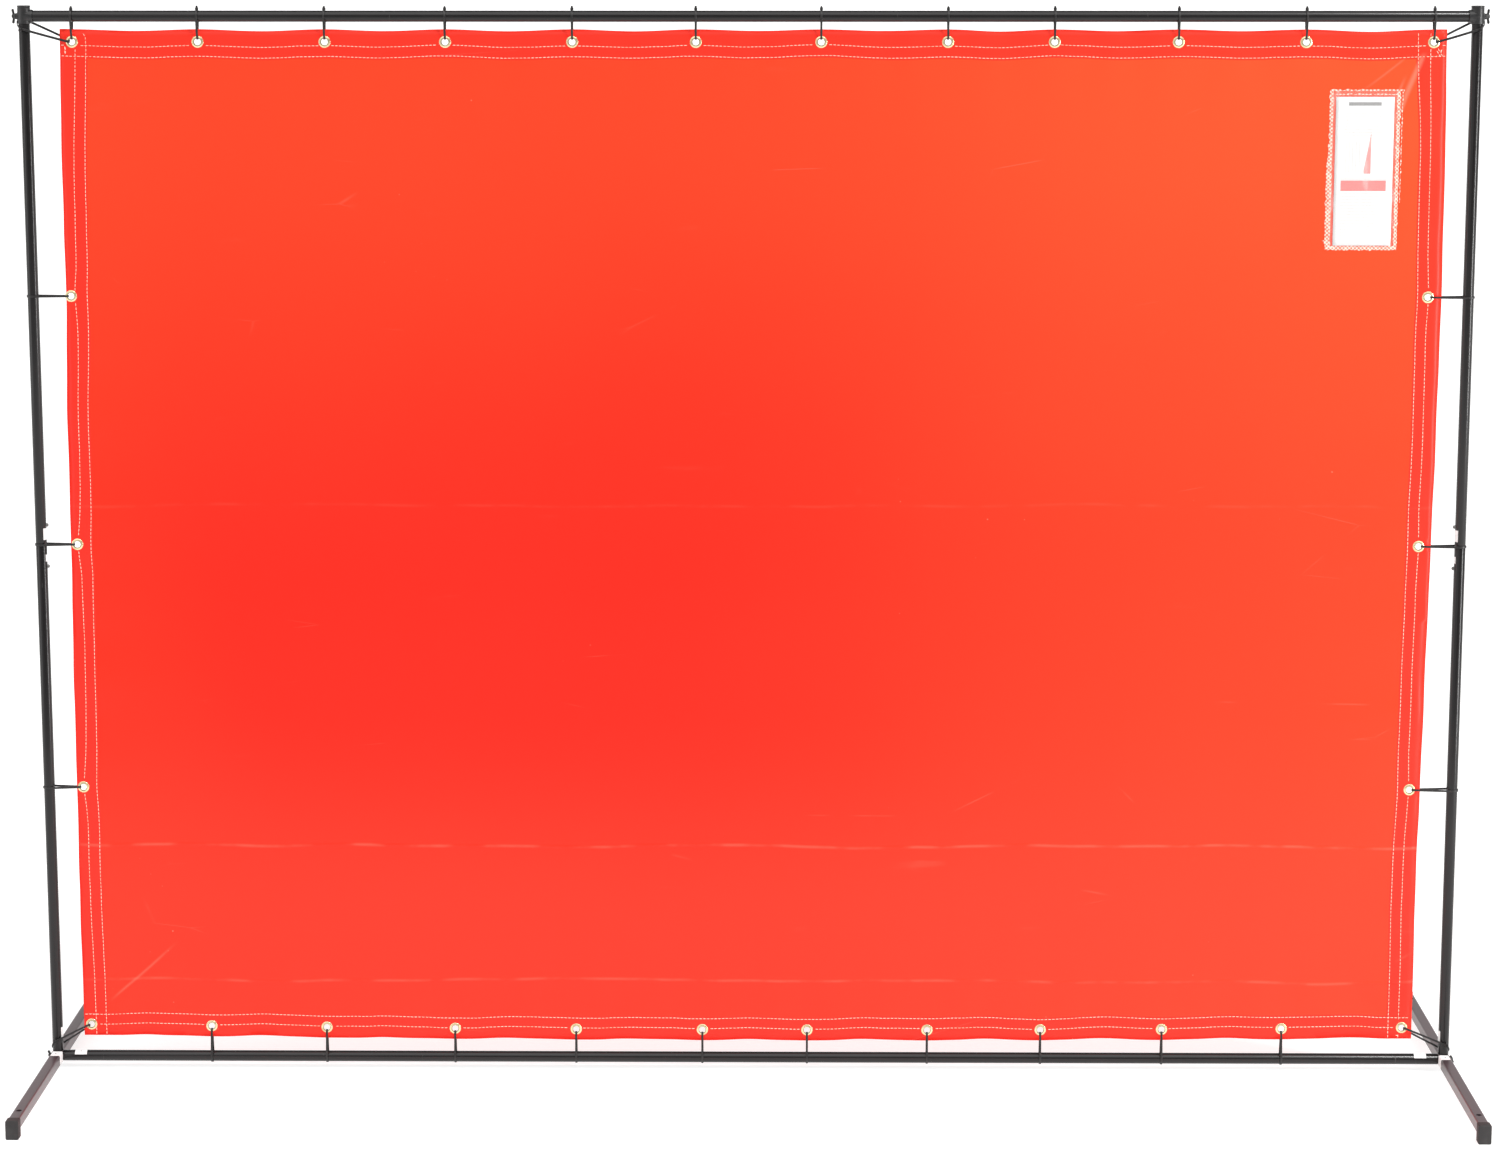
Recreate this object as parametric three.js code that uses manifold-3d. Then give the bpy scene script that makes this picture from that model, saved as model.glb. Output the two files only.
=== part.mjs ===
// Welding curtain screen: a knock-down tube frame on two feet, with a vinyl curtain tied into it.
// Millimetres, +Z up, front towards -Y. The origin is on the floor under the middle of the frame.

import * as THREE from 'three';
import { mergeVertices } from 'three/addons/utils/BufferGeometryUtils.js';
import Module from 'manifold-3d';

// Frame
const postSpacing = 2440;        // left post axis to right post axis
const railRise = 1814;           // bottom rail axis to top rail axis
const tubeDiameter = 19.05;
const tubeWall = 1.2;
const footSide = 19.05;          // square tube of the feet
const footWall = 1.5;
const footCorner = 2.2;          // outer corner radius of the square tube
const footReach = 402;           // post axis to the outer face of a foot cap
const anchorInset = 61;          // outer face of a foot cap to the anchor hole
const anchorHole = 9.5;

// Foot caps
const capLength = 20;
const capWall = 1.5;
const capEndWall = 3;
const capPad = 12.5;             // rubber under the tube, which is what the screen stands on
const capCorner = 2.4;

// Fit
const clearance = 0.3;           // between a piece and what it slides in or rests against
const chamfer = 0.4;             // broken edge at tube ends

// Mid-post joint
const connectorLength = 150;
const connectorWall = 1.5;
const buttonSpacing = 72;        // between the two snap buttons of one post
const buttonDiameter = 6;
const buttonStandOut = 4;        // beyond the outside of the post
const leafThickness = 0.9;
const leafWidth = 7;
const leafLength = 16;

// Foot stub inside the lower post
const stubHeight = 55;
const stubWall = 1.5;

// Top corner fitting
const sleeveWall = 1.1;
const sleeveBelow = 12.5;        // rail axis down to the mouth of the sleeve
const sleeveAbove = 14.5;        // rail axis up to the underside of the lid
const lidHeight = 3.5;
const lidOverhang = 0.3;
const collarDepth = 4.3;         // how far the rail sits in its collar
const collarWall = 1.2;
const bossDiameter = 11;
const bossHeight = 1.2;

// Wing bolts
const boltDiameter = 6;
const boltGrip = 10;             // shank inside the rail plug
const hubDiameter = 10;
const hubLength = 8;
const wingSpan = 25;
const wingThickness = 2.2;
const wingGap = 3;               // seat to the wings
const plugLength = 14;           // threaded plug at each end of a rail

// Curtain
const curtainGapSide = 51.5;     // post axis to curtain edge, mean of top and bottom
const curtainGapTop = 23;        // top rail axis to curtain edge
const curtainGapBottom = 39;     // bottom rail axis to curtain edge, at the corners
const curtainDip = 7;            // how much lower the bottom edge hangs in the middle
const curtainLean = 11;          // the curtain hangs this much further right at the top
const curtainOffset = -1.5;      // middle of the curtain from the middle of the frame
const curtainThickness = 0.6;    // the sheet and its hems together
const grommetHole = 11.5;
const rowCount = 12;             // grommets along the top and along the bottom
const sideCount = 3;             // grommets down each side, between the corners
const topRow = { edge: 20, inset: 24, closing: 180, closingAfter: 7 };
const bottomRow = { edge: 18, inset: 16, closing: 184, closingAfter: 5 };
const sideInset = { left: 12.5, right: 18.5 };
const topWander = [0, 1, 4, -4, -1, -4, -4, -2, -3, -6, -3, 0];
const bottomWander = [0, 0, -9, 5, 6, 16, 16, 15, 2, 3, 1, 0];

// Cable ties
const strapThickness = 1.2;
const strapWidth = 3.6;
const strapGap = 2.2;            // half the space between the strands at the grommet
const headLength = 5;
const headHeight = 4.4;
const tailLength = 3.5;
const tailThickness = 1.4;
const headGap = 0.12;            // angle between the head and the ring's next corner
const ringSteps = 10;
const eyeSteps = 3;
const headBehind = 0.65 * Math.PI;
const headInFront = 1.4 * Math.PI;
const topCornerTie = { rise: -14, skew: 0.65 };      // from the rail axis; the ring is higher behind
const bottomCornerTie = { rise: 5.6, skew: -0.7 };   // foot to the back of the ring; higher in front

// Document pouch on the curtain
const pouchWidth = 119;
const pouchHeight = 270;
const pouchDepth = 2.4;
const pouchSkin = 0.4;
const pouchSeam = 7;
const pouchRight = 77;           // curtain edge to the pouch
const pouchTop = 98;             // curtain edge to the pouch
const cardWidth = 98;
const cardHeight = 250;
const cardThickness = 0.5;

const roundSegments = 24;
const holeSegments = 12;

// Worked out from the sizes above
const tubeRadius = tubeDiameter / 2;
const tubeBore = tubeRadius - tubeWall;
const footTop = capPad + footSide;
const bottomRailZ = capPad + footSide / 2;
const topRailZ = bottomRailZ + railRise;
const jointZ = (footTop + topRailZ) / 2;
const sleeveBore = tubeRadius + clearance;
const sleeveRadius = sleeveBore + sleeveWall;
const collarFloor = sleeveBore + sleeveWall;       // post axis to the bottom of the rail socket
const topRailStart = collarFloor + clearance;      // post axis to the end of the top rail
const bottomRailStart = Math.max(footSide / 2, tubeRadius) + clearance;
const boltHole = boltDiameter / 2 + clearance;
const topSeat = sleeveRadius + bossHeight;         // post axis to the face a top bolt seats on
const bottomSeat = footSide / 2;

const paint = { color: 0x16161a, roughness: 0.28, metalness: 0.3 };
const plastic = { color: 0x1b1b1d, roughness: 0.45, metalness: 0 };
const rubber = { color: 0x2f3030, roughness: 0.85, metalness: 0 };
const zinc = { color: 0xb9bcc0, roughness: 0.35, metalness: 0.9 };
const vinyl = { color: 0xff3f2c, roughness: 0.3, metalness: 0 };
const clearVinyl = { color: 0xe9b9ae, roughness: 0.2, metalness: 0 };
const paper = { color: 0xe8e6e2, roughness: 0.8, metalness: 0 };

const wasm = await Module();
wasm.setup();

function toSolid(geometry) {
  const bare = geometry.clone();
  bare.deleteAttribute('normal');
  bare.deleteAttribute('uv');
  const merged = mergeVertices(bare, 1e-4);
  return new wasm.Manifold(new wasm.Mesh({
    numProp: 3,
    vertProperties: merged.attributes.position.array,
    triVerts: new Uint32Array(merged.index.array),
  }));
}

function toGeometry(solid) {
  const mesh = solid.getMesh();
  const geometry = new THREE.BufferGeometry();
  geometry.setAttribute('position', new THREE.BufferAttribute(mesh.vertProperties, 3));
  geometry.setIndex(new THREE.BufferAttribute(mesh.triVerts, 1));
  geometry.computeVertexNormals();
  return geometry;
}

function shaped(adds, cuts = []) {
  let solid = toSolid(adds[0]);
  for (const add of adds.slice(1)) solid = solid.add(toSolid(add));
  for (const cut of cuts) solid = solid.subtract(toSolid(cut));
  return toGeometry(solid);
}

function mesh(name, geometry, look) {
  const piece = new THREE.Mesh(geometry, new THREE.MeshStandardMaterial(look));
  piece.name = name;
  return piece;
}

// A turned solid on the Z axis; the profile lists [radius, height] from bottom to top on the outside.
function turned(profile, segments = roundSegments) {
  const points = profile.map(([radius, height]) => new THREE.Vector2(radius, height));
  return new THREE.LatheGeometry(points, segments).rotateX(Math.PI / 2);
}

// A tube on the Z axis from 0 to length, with broken outer edges.
function tube(length, outer, inner) {
  return turned([
    [inner, 0],
    [outer - chamfer, 0],
    [outer, chamfer],
    [outer, length - chamfer],
    [outer - chamfer, length],
    [inner, length],
    [inner, 0],
  ]);
}

// A round bar along X between two places, for bolt holes, bosses and collars.
function barX(radius, from, to, segments = holeSegments) {
  return new THREE.CylinderGeometry(radius, radius, to - from, segments)
    .rotateZ(Math.PI / 2)
    .translate((from + to) / 2, 0, 0);
}

function barZ(radius, from, to, segments = holeSegments) {
  return new THREE.CylinderGeometry(radius, radius, to - from, segments)
    .rotateX(Math.PI / 2)
    .translate(0, 0, (from + to) / 2);
}

function roundedRectangle(width, height, radius) {
  const x = width / 2;
  const y = height / 2;
  const shape = new THREE.Shape();
  shape.absarc(x - radius, y - radius, radius, 0, Math.PI / 2);
  shape.absarc(radius - x, y - radius, radius, Math.PI / 2, Math.PI);
  shape.absarc(radius - x, radius - y, radius, Math.PI, 1.5 * Math.PI);
  shape.absarc(x - radius, radius - y, radius, 1.5 * Math.PI, 2 * Math.PI);
  shape.closePath();
  return shape;
}

// An outline in X and Z run along Y between two places.
function alongY(shape, from, to, bevel = 0) {
  return new THREE.ExtrudeGeometry(shape, {
    depth: to - from - 2 * bevel,
    curveSegments: 2,
    bevelEnabled: bevel > 0,
    bevelThickness: bevel,
    bevelSize: bevel,
    bevelOffset: -bevel,
    bevelSegments: 1,
  }).rotateX(Math.PI / 2).translate(0, to - bevel, 0);
}

// Feet: a square tube with a stub for the post welded on top.
function footGeometry() {
  const half = footReach - capEndWall - clearance;
  const skin = roundedRectangle(footSide, footSide, footCorner);
  skin.holes.push(roundedRectangle(
    footSide - 2 * footWall, footSide - 2 * footWall, footCorner - footWall / 2));
  const stubRadius = tubeBore - clearance;
  const stub = tube(stubHeight + footWall / 2, stubRadius, stubRadius - stubWall)
    .translate(0, 0, footSide / 2 - footWall / 2);
  const anchors = [-1, 1].map((side) => barZ(anchorHole / 2, -footSide, footSide)
    .translate(0, side * (footReach - anchorInset), 0));
  return shaped(
    [alongY(skin, -half, half), stub],
    [barX(boltHole, -footSide, footSide), ...anchors]);
}

// A cap covers the end of a foot and carries the pad; it is made for the front end.
function footCapGeometry() {
  const height = capPad + footSide + capWall;
  const outside = alongY(
    roundedRectangle(footSide + 2 * capWall, height, capCorner), -footReach, capLength - footReach, 0.8)
    .translate(0, 0, height / 2);
  const pocket = alongY(
    roundedRectangle(footSide + 2 * clearance, footSide + 2 * clearance, footCorner),
    capEndWall - footReach, capLength - footReach + 1)
    .translate(0, 0, bottomRailZ);
  return shaped([outside], [pocket]);
}

// Button holes face the middle of the screen.
function lowerPostGeometry() {
  const body = tube(jointZ - footTop - clearance / 2, tubeRadius, tubeBore).translate(0, 0, footTop);
  const hole = barX(buttonDiameter / 2 + clearance, 0, tubeDiameter)
    .translate(0, 0, jointZ - buttonSpacing / 2);
  return shaped([body], [hole]);
}

function upperPostGeometry() {
  const foot = jointZ + clearance / 2;
  const top = topRailZ + sleeveAbove - 2 * clearance;
  const body = tube(top - foot, tubeRadius, tubeBore).translate(0, 0, foot);
  const buttonCut = barX(buttonDiameter / 2 + clearance, 0, tubeDiameter)
    .translate(0, 0, jointZ + buttonSpacing / 2);
  const boltCut = barX(boltHole, -tubeDiameter, tubeDiameter).translate(0, 0, topRailZ);
  return shaped([body], [buttonCut, boltCut]);
}

function connectorGeometry() {
  const outer = tubeBore - clearance;
  const body = tube(connectorLength, outer, outer - connectorWall)
    .translate(0, 0, jointZ - connectorLength / 2);
  const cuts = [-1, 1].map((side) => barX(buttonDiameter / 2 + clearance, 0, tubeDiameter)
    .translate(0, 0, jointZ + side * buttonSpacing / 2));
  return shaped([body], cuts);
}

// A snap button: a domed pin on a short spring leaf. It points to +X, with the post axis at the origin.
function buttonGeometry() {
  const bore = tubeBore - clearance - connectorWall;
  const leafFace = Math.sqrt(bore ** 2 - (leafWidth / 2) ** 2) - clearance;
  const radius = buttonDiameter / 2;
  const tip = tubeRadius + buttonStandOut;
  const pin = turned([
    [0, leafFace - leafThickness / 2],
    [radius, leafFace - leafThickness / 2],
    [radius, tip - radius * 0.8],
    [radius * 0.85, tip - radius * 0.35],
    [radius * 0.45, tip - radius * 0.07],
    [0, tip],
  ], holeSegments).rotateY(Math.PI / 2);
  const leaf = new THREE.BoxGeometry(leafThickness, leafWidth, leafLength)
    .translate(leafFace - leafThickness / 2, 0, 0);
  return shaped([pin, leaf]);
}

// A rail is a tube along X with a threaded plug pressed into each end.
function railGeometry(length) {
  return turned([
    [boltHole, 0],
    [tubeRadius - chamfer, 0],
    [tubeRadius, chamfer],
    [tubeRadius, length - chamfer],
    [tubeRadius - chamfer, length],
    [boltHole, length],
    [boltHole, length - plugLength],
    [tubeBore, length - plugLength],
    [tubeBore, plugLength],
    [boltHole, plugLength],
    [boltHole, 0],
  ]).rotateY(Math.PI / 2).translate(-length / 2, 0, 0);
}

// The top corner fitting drops over the post and takes the rail on its +X side.
function topFittingGeometry() {
  const lidTop = sleeveAbove + lidHeight;
  const body = turned([
    [0, -sleeveBelow],
    [sleeveRadius, -sleeveBelow],
    [sleeveRadius, sleeveAbove],
    [sleeveRadius + lidOverhang, sleeveAbove + lidOverhang],
    [sleeveRadius + lidOverhang, lidTop - 2 * lidOverhang],
    [sleeveRadius - 2 * lidOverhang, lidTop],
    [0, lidTop],
  ]);
  const collar = barX(sleeveBore + collarWall, 0, collarFloor + collarDepth, roundSegments);
  const boss = barX(bossDiameter / 2, -topSeat, 0);
  const postBore = barZ(sleeveBore, -sleeveBelow - 1, sleeveAbove - clearance, roundSegments);
  const railSocket = barX(sleeveBore, collarFloor, collarFloor + 2 * collarDepth, roundSegments);
  const boltCut = barX(boltHole, -topSeat - 1, collarFloor + 1);
  return shaped([body, collar, boss], [postBore, railSocket, boltCut]);
}

// A wing bolt along X: the shank points to +X from the seat at zero, the wings stand off to -X.
function wingBoltGeometry(shankLength) {
  const shank = barX(boltDiameter / 2, -1, shankLength);
  const hub = turned([
    [0, 0],
    [hubDiameter / 2, 0],
    [hubDiameter / 2, 1.5],
    [hubDiameter / 2 - 1, 3],
    [hubDiameter / 2 - 1.6, hubLength - 1],
    [hubDiameter / 2 - 2.6, hubLength],
    [0, hubLength],
  ], holeSegments).rotateY(-Math.PI / 2);
  const reach = wingSpan / 2;
  const outline = new THREE.Shape();
  outline.moveTo(0, wingGap);
  outline.lineTo(reach * 0.8, wingGap + 0.4);
  outline.lineTo(reach, wingGap + 1.6);
  outline.lineTo(reach, hubLength - 1.4);
  outline.lineTo(reach * 0.84, hubLength - 0.2);
  outline.lineTo(reach * 0.62, hubLength - 0.7);
  outline.lineTo(0, hubLength - 1.9);
  outline.closePath();
  // The outline's own x runs out along the wing, and its y away from the seat.
  const wing = (side) => new THREE.ExtrudeGeometry(outline, { depth: wingThickness, bevelEnabled: false })
    .translate(0, 0, -wingThickness / 2)
    .applyMatrix4(new THREE.Matrix4().makeBasis(
      new THREE.Vector3(0, 0, side), new THREE.Vector3(-1, 0, 0), new THREE.Vector3(0, -side, 0)));
  return shaped([hub, shank, wing(1), wing(-1)]);
}

// Curtain outline and grommet places, in frame coordinates.
const curtainTop = topRailZ - curtainGapTop;
const curtainBottom = bottomRailZ + curtainGapBottom;
const curtainHalf = postSpacing / 2 - curtainGapSide;

function leanAt(z) {
  return curtainOffset + curtainLean * ((z - curtainBottom) / (curtainTop - curtainBottom) - 0.5);
}

function dipAt(x) {
  return curtainDip * (1 - Math.min(1, (x / curtainHalf) ** 2));
}

function rowPlaces(row, z, wander, dipped) {
  const left = leanAt(z) - curtainHalf + row.inset;
  const span = 2 * (curtainHalf - row.inset);
  const pitch = (span - row.closing) / (rowCount - 2);
  return wander.map((shift, index) => {
    const extra = index > row.closingAfter ? row.closing - pitch : 0;
    const x = left + index * pitch + extra + shift;
    return { x, z: z - (dipped ? dipAt(x) : 0) };
  });
}

const topPlaces = rowPlaces(topRow, curtainTop - topRow.edge, topWander, false);
const bottomPlaces = rowPlaces(bottomRow, curtainBottom + bottomRow.edge, bottomWander, true);

function sidePlaces(side) {
  const last = rowCount - 1;
  const high = side < 0 ? topPlaces[0].z : topPlaces[last].z;
  const low = side < 0 ? bottomPlaces[0].z : bottomPlaces[last].z;
  const inset = side < 0 ? sideInset.left : sideInset.right;
  return Array.from({ length: sideCount }, (_, index) => {
    const z = high + (low - high) * (index + 1) / (sideCount + 1);
    return { x: leanAt(z) + side * (curtainHalf - inset), z };
  });
}

const leftPlaces = sidePlaces(-1);
const rightPlaces = sidePlaces(1);

function curtainGeometry() {
  const edgeSteps = 12;
  const outline = new THREE.Shape();
  outline.moveTo(leanAt(curtainTop) + curtainHalf, curtainTop);
  outline.lineTo(leanAt(curtainTop) - curtainHalf, curtainTop);
  for (let i = 0; i <= edgeSteps; i++) {
    const x = curtainHalf * (2 * i / edgeSteps - 1);
    outline.lineTo(leanAt(curtainBottom) + x, curtainBottom - dipAt(x));
  }
  outline.closePath();
  for (const place of [...topPlaces, ...bottomPlaces, ...leftPlaces, ...rightPlaces]) {
    const hole = new THREE.Path();
    hole.absarc(place.x, place.z, grommetHole / 2, 0, 2 * Math.PI);
    outline.holes.push(hole);
  }
  return new THREE.ExtrudeGeometry(outline, {
    depth: curtainThickness, curveSegments: holeSegments / 2, bevelEnabled: false,
  }).rotateX(Math.PI / 2).translate(0, curtainThickness / 2, 0);
}

// The head of a tie and the cut end of its strap, standing out from a ring of this radius.
function headOutline(radius, angle) {
  const out = new THREE.Vector2(Math.cos(angle), Math.sin(angle));
  const along = new THREE.Vector2(-out.y, out.x);
  const corners = [
    [-headLength / 2, -strapThickness / 2], [-headLength / 2, headHeight],
    [-tailThickness / 2, headHeight], [-tailThickness / 2, headHeight + tailLength],
    [tailThickness / 2, headHeight + tailLength], [tailThickness / 2, headHeight],
    [headLength / 2, headHeight], [headLength / 2, -strapThickness / 2],
  ];
  return corners.map(([side, height]) => out.clone()
    .multiplyScalar(radius + height)
    .addScaledVector(along, side));
}

// An arc of points about a place on the first axis.
function arcPoints(center, radius, from, to, steps) {
  return Array.from({ length: steps + 1 }, (_, i) => {
    const angle = from + (to - from) * i / steps;
    return new THREE.Vector2(center + radius * Math.cos(angle), radius * Math.sin(angle));
  });
}

// One closed outline round a bar at the origin and out to a small eye at the grommet.
function loopOutline(distance, barRadius, grow, headAngle) {
  const radius = barRadius + grow;
  const lean = Math.acos((barRadius - strapGap) / distance);
  const eye = arcPoints(distance, strapGap + grow, -lean, lean, eyeSteps);
  if (headAngle === undefined) {
    return [...arcPoints(0, radius, lean, 2 * Math.PI - lean, ringSteps), ...eye];
  }
  const headHalf = Math.asin(headLength / 2 / radius);
  const before = Math.max(1, Math.round(ringSteps * (headAngle - lean) / (2 * Math.PI)));
  return [
    ...arcPoints(0, radius, lean, headAngle - headHalf - headGap, before),
    ...headOutline(radius, headAngle),
    ...arcPoints(0, radius, headAngle + headHalf + headGap, 2 * Math.PI - lean, ringSteps - before),
    ...eye,
  ];
}

// A cable tie from a bar to a grommet. The loop is drawn in the plane of `toward` and `across` and is
// as wide as the strap at right angles to them; `slope` leans it, for a tie that rings a post askew.
function tieGeometry({ bar, toward, across, reach, barRadius, slope = [0, 0], headAngle = Math.PI }) {
  const distance = reach - strapGap;
  const width = new THREE.Vector3().crossVectors(toward, across);
  const lean = (direction, amount) => direction.clone().addScaledVector(width, amount);
  const outer = new THREE.Shape(loopOutline(distance, barRadius, strapThickness, headAngle));
  outer.holes.push(new THREE.Path(loopOutline(distance, barRadius, 0)));
  return new THREE.ExtrudeGeometry(outer, { depth: strapWidth, bevelEnabled: false })
    .translate(0, 0, -strapWidth / 2)
    .applyMatrix4(new THREE.Matrix4()
      .makeBasis(lean(toward, slope[0]), lean(across, slope[1]), width)
      .setPosition(bar));
}

// A pocket of clear vinyl, open at the top, with a card in it.
const pouchPlace = new THREE.Vector3(
  leanAt(curtainTop) + curtainHalf - pouchRight - pouchWidth / 2,
  -curtainThickness / 2 - clearance - pouchDepth / 2,
  curtainTop - pouchTop - pouchHeight / 2);

function pouchGeometry() {
  const shell = new THREE.BoxGeometry(pouchWidth, pouchDepth, pouchHeight);
  const pocket = new THREE.BoxGeometry(
    pouchWidth - 2 * pouchSeam, pouchDepth - 2 * pouchSkin, pouchHeight)
    .translate(0, 0, pouchSeam);
  return shaped([shell], [pocket]);
}

const screen = new THREE.Group();
const sides = [['left', -1], ['right', 1]];

for (const [name, side] of sides) {
  // Each side group is turned so that its +X points to the middle of the screen.
  const end = new THREE.Group();
  end.position.x = side * postSpacing / 2;
  end.rotation.z = side < 0 ? 0 : Math.PI;
  screen.add(end);

  const foot = mesh(`foot_${name}`, footGeometry(), paint);
  foot.position.z = bottomRailZ;
  end.add(foot);
  for (const [place, turn] of [['front', 0], ['rear', Math.PI]]) {
    const cap = mesh(`foot_cap_${name}_${place}`, footCapGeometry(), rubber);
    cap.rotation.z = turn - end.rotation.z;
    end.add(cap);
  }

  end.add(mesh(`post_${name}_lower`, lowerPostGeometry(), paint));
  end.add(mesh(`post_${name}_upper`, upperPostGeometry(), paint));
  end.add(mesh(`post_connector_${name}`, connectorGeometry(), zinc));
  for (const [place, step] of [['lower', -1], ['upper', 1]]) {
    const button = mesh(`snap_button_${name}_${place}`, buttonGeometry(), zinc);
    button.position.z = jointZ + step * buttonSpacing / 2;
    end.add(button);
  }

  const fitting = mesh(`top_fitting_${name}`, topFittingGeometry(), plastic);
  fitting.position.z = topRailZ;
  end.add(fitting);

  const bolts = [
    ['top', topRailZ, topSeat, topRailStart, side < 0 ? 8 : 0],
    ['bottom', bottomRailZ, bottomSeat, bottomRailStart, side < 0 ? 35 : 80],
  ];
  for (const [place, z, seat, railStart, turn] of bolts) {
    const bolt = mesh(
      `wing_bolt_${name}_${place}`,
      wingBoltGeometry(seat + clearance + railStart + boltGrip), paint);
    bolt.position.set(-seat - clearance, 0, z);
    bolt.rotation.x = THREE.MathUtils.degToRad(turn);
    end.add(bolt);
  }
}

const topRail = mesh('top_rail', railGeometry(postSpacing - 2 * topRailStart), paint);
topRail.position.z = topRailZ;
const bottomRail = mesh('bottom_rail', railGeometry(postSpacing - 2 * bottomRailStart), paint);
bottomRail.position.z = bottomRailZ;
screen.add(topRail, bottomRail);

screen.add(mesh('curtain', curtainGeometry(), vinyl));
const pouch = mesh('document_pouch', pouchGeometry(), clearVinyl);
pouch.position.copy(pouchPlace);
const card = mesh('document_card', new THREE.BoxGeometry(cardWidth, cardThickness, cardHeight), paper);
card.position.copy(pouchPlace);
card.position.z += pouchSeam + clearance - (pouchHeight - cardHeight) / 2;
screen.add(pouch, card);

// A strap bears on the near edge of its grommet, so the loop ends inside the hole. This is how far from
// the middle of the hole it can be, with both its edges clear, when it comes in at a slope.
function eyeOffset(slope = 0) {
  const room = (grommetHole / 2) * Math.cos(Math.PI / holeSegments) - clearance;
  const half = strapWidth / 2;
  const steep = 1 + slope ** 2;
  const drift = Math.abs(slope) * half;
  return (Math.sqrt(drift ** 2 + steep * (room ** 2 - half ** 2)) - drift) / steep;
}

const ringRadius = tubeRadius + clearance;
const ringAtFoot = footTop + bottomCornerTie.rise - bottomCornerTie.skew * ringRadius;
const depthWise = new THREE.Vector3(0, 1, 0);

function addTie(name, x, z, toward, options) {
  screen.add(mesh(name, tieGeometry({
    bar: new THREE.Vector3(x, 0, z), toward, across: depthWise, barRadius: ringRadius, ...options,
  }), plastic));
}

topPlaces.forEach((spot, index) => addTie(
  `tie_top_${index + 1}`, spot.x, topRailZ, new THREE.Vector3(0, 0, -1),
  { reach: topRailZ - spot.z - eyeOffset() }));
bottomPlaces.slice(1, -1).forEach((spot, index) => addTie(
  `tie_bottom_${index + 1}`, spot.x, bottomRailZ, new THREE.Vector3(0, 0, 1),
  { reach: spot.z - bottomRailZ - eyeOffset(), headAngle: headBehind }));

for (const [name, side] of sides) {
  const postX = side * postSpacing / 2;
  const inward = new THREE.Vector3(-side, 0, 0);
  const column = side < 0 ? leftPlaces : rightPlaces;
  column.forEach((spot, index) => addTie(
    `tie_${name}_${index + 1}`, postX, spot.z, inward,
    { reach: Math.abs(spot.x - postX) - eyeOffset(), headAngle: headBehind }));

  const corner = side < 0 ? 0 : rowCount - 1;
  const diagonals = [
    ['top', topPlaces[corner], topRailZ + topCornerTie.rise, topCornerTie.skew, sleeveRadius + clearance],
    ['bottom', bottomPlaces[corner], ringAtFoot, bottomCornerTie.skew, ringRadius],
  ];
  for (const [place, spot, z, skew, barRadius] of diagonals) {
    const run = Math.abs(spot.x - postX);
    const slope = (spot.z - z) / run;
    addTie(`tie_corner_${name}_${place}`, postX, z, inward, {
      reach: run - eyeOffset(slope), barRadius, headAngle: headInFront,
      slope: [-side * slope, -side * skew],
    });
  }
}

export default screen;
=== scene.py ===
import math
import random
from bisect import bisect

import bmesh
import bpy
from mathutils import Matrix, Vector, noise
from mathutils.geometry import delaunay_2d_cdt


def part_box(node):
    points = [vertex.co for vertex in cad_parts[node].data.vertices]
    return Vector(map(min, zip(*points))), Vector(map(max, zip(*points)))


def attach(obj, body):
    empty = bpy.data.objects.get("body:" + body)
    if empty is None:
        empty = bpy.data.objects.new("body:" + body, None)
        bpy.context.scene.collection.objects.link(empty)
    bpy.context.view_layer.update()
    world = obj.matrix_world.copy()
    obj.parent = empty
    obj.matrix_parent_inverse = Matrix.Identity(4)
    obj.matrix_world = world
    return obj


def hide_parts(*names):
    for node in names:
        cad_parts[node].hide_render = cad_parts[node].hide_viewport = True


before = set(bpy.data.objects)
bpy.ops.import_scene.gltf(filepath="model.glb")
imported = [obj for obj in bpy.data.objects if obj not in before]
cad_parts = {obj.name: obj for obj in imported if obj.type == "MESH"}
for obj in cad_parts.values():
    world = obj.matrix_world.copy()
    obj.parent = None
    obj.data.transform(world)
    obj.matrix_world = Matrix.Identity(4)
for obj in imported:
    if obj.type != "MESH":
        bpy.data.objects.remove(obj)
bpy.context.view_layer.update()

scene = bpy.context.scene
mm = 0.001  # lengths below are in millimetres until a mesh is made
xAxis, yAxis, zAxis = Vector((1, 0, 0)), Vector((0, 1, 0)), Vector((0, 0, 1))
sides = (("left", -1), ("right", 1))


def box(name):
    low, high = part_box(name)
    return low / mm, high / mm


def middle(name):
    low, high = box(name)
    return (low + high) / 2


# Shader wiring

class Wire:
    # one output socket that adds its own Math nodes when it is used in an expression
    def __init__(self, sketch, socket):
        self.sketch = sketch
        self.socket = socket

    def maths(self, operation, first, second=0.0):
        return self.sketch.node("Math", {"operation": operation}, {0: first, 1: second})

    def __add__(self, other):
        return self.maths("ADD", self, other)

    def __sub__(self, other):
        return self.maths("SUBTRACT", self, other)

    def __rsub__(self, other):
        return self.maths("SUBTRACT", other, self)

    def __mul__(self, other):
        return self.maths("MULTIPLY", self, other)

    def __truediv__(self, other):
        return self.maths("DIVIDE", self, other)

    def __gt__(self, other):
        return self.maths("GREATER_THAN", self, other)

    def __lt__(self, other):
        return self.maths("LESS_THAN", self, other)

    def __abs__(self):
        return self.maths("ABSOLUTE", self)

    __radd__ = __add__
    __rmul__ = __mul__

    def within(self, low, high):
        return (self > low) * (self < high)

    def wave(self, length):
        return self.maths("SINE", self * (2 * math.pi / length))

    def ramp(self, start, end, low=0.0, high=1.0):
        return self.sketch.node(
            "MapRange", {"interpolation_type": "SMOOTHSTEP"},
            {"Value": self, "From Min": start, "From Max": end, "To Min": low, "To Max": high})


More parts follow.
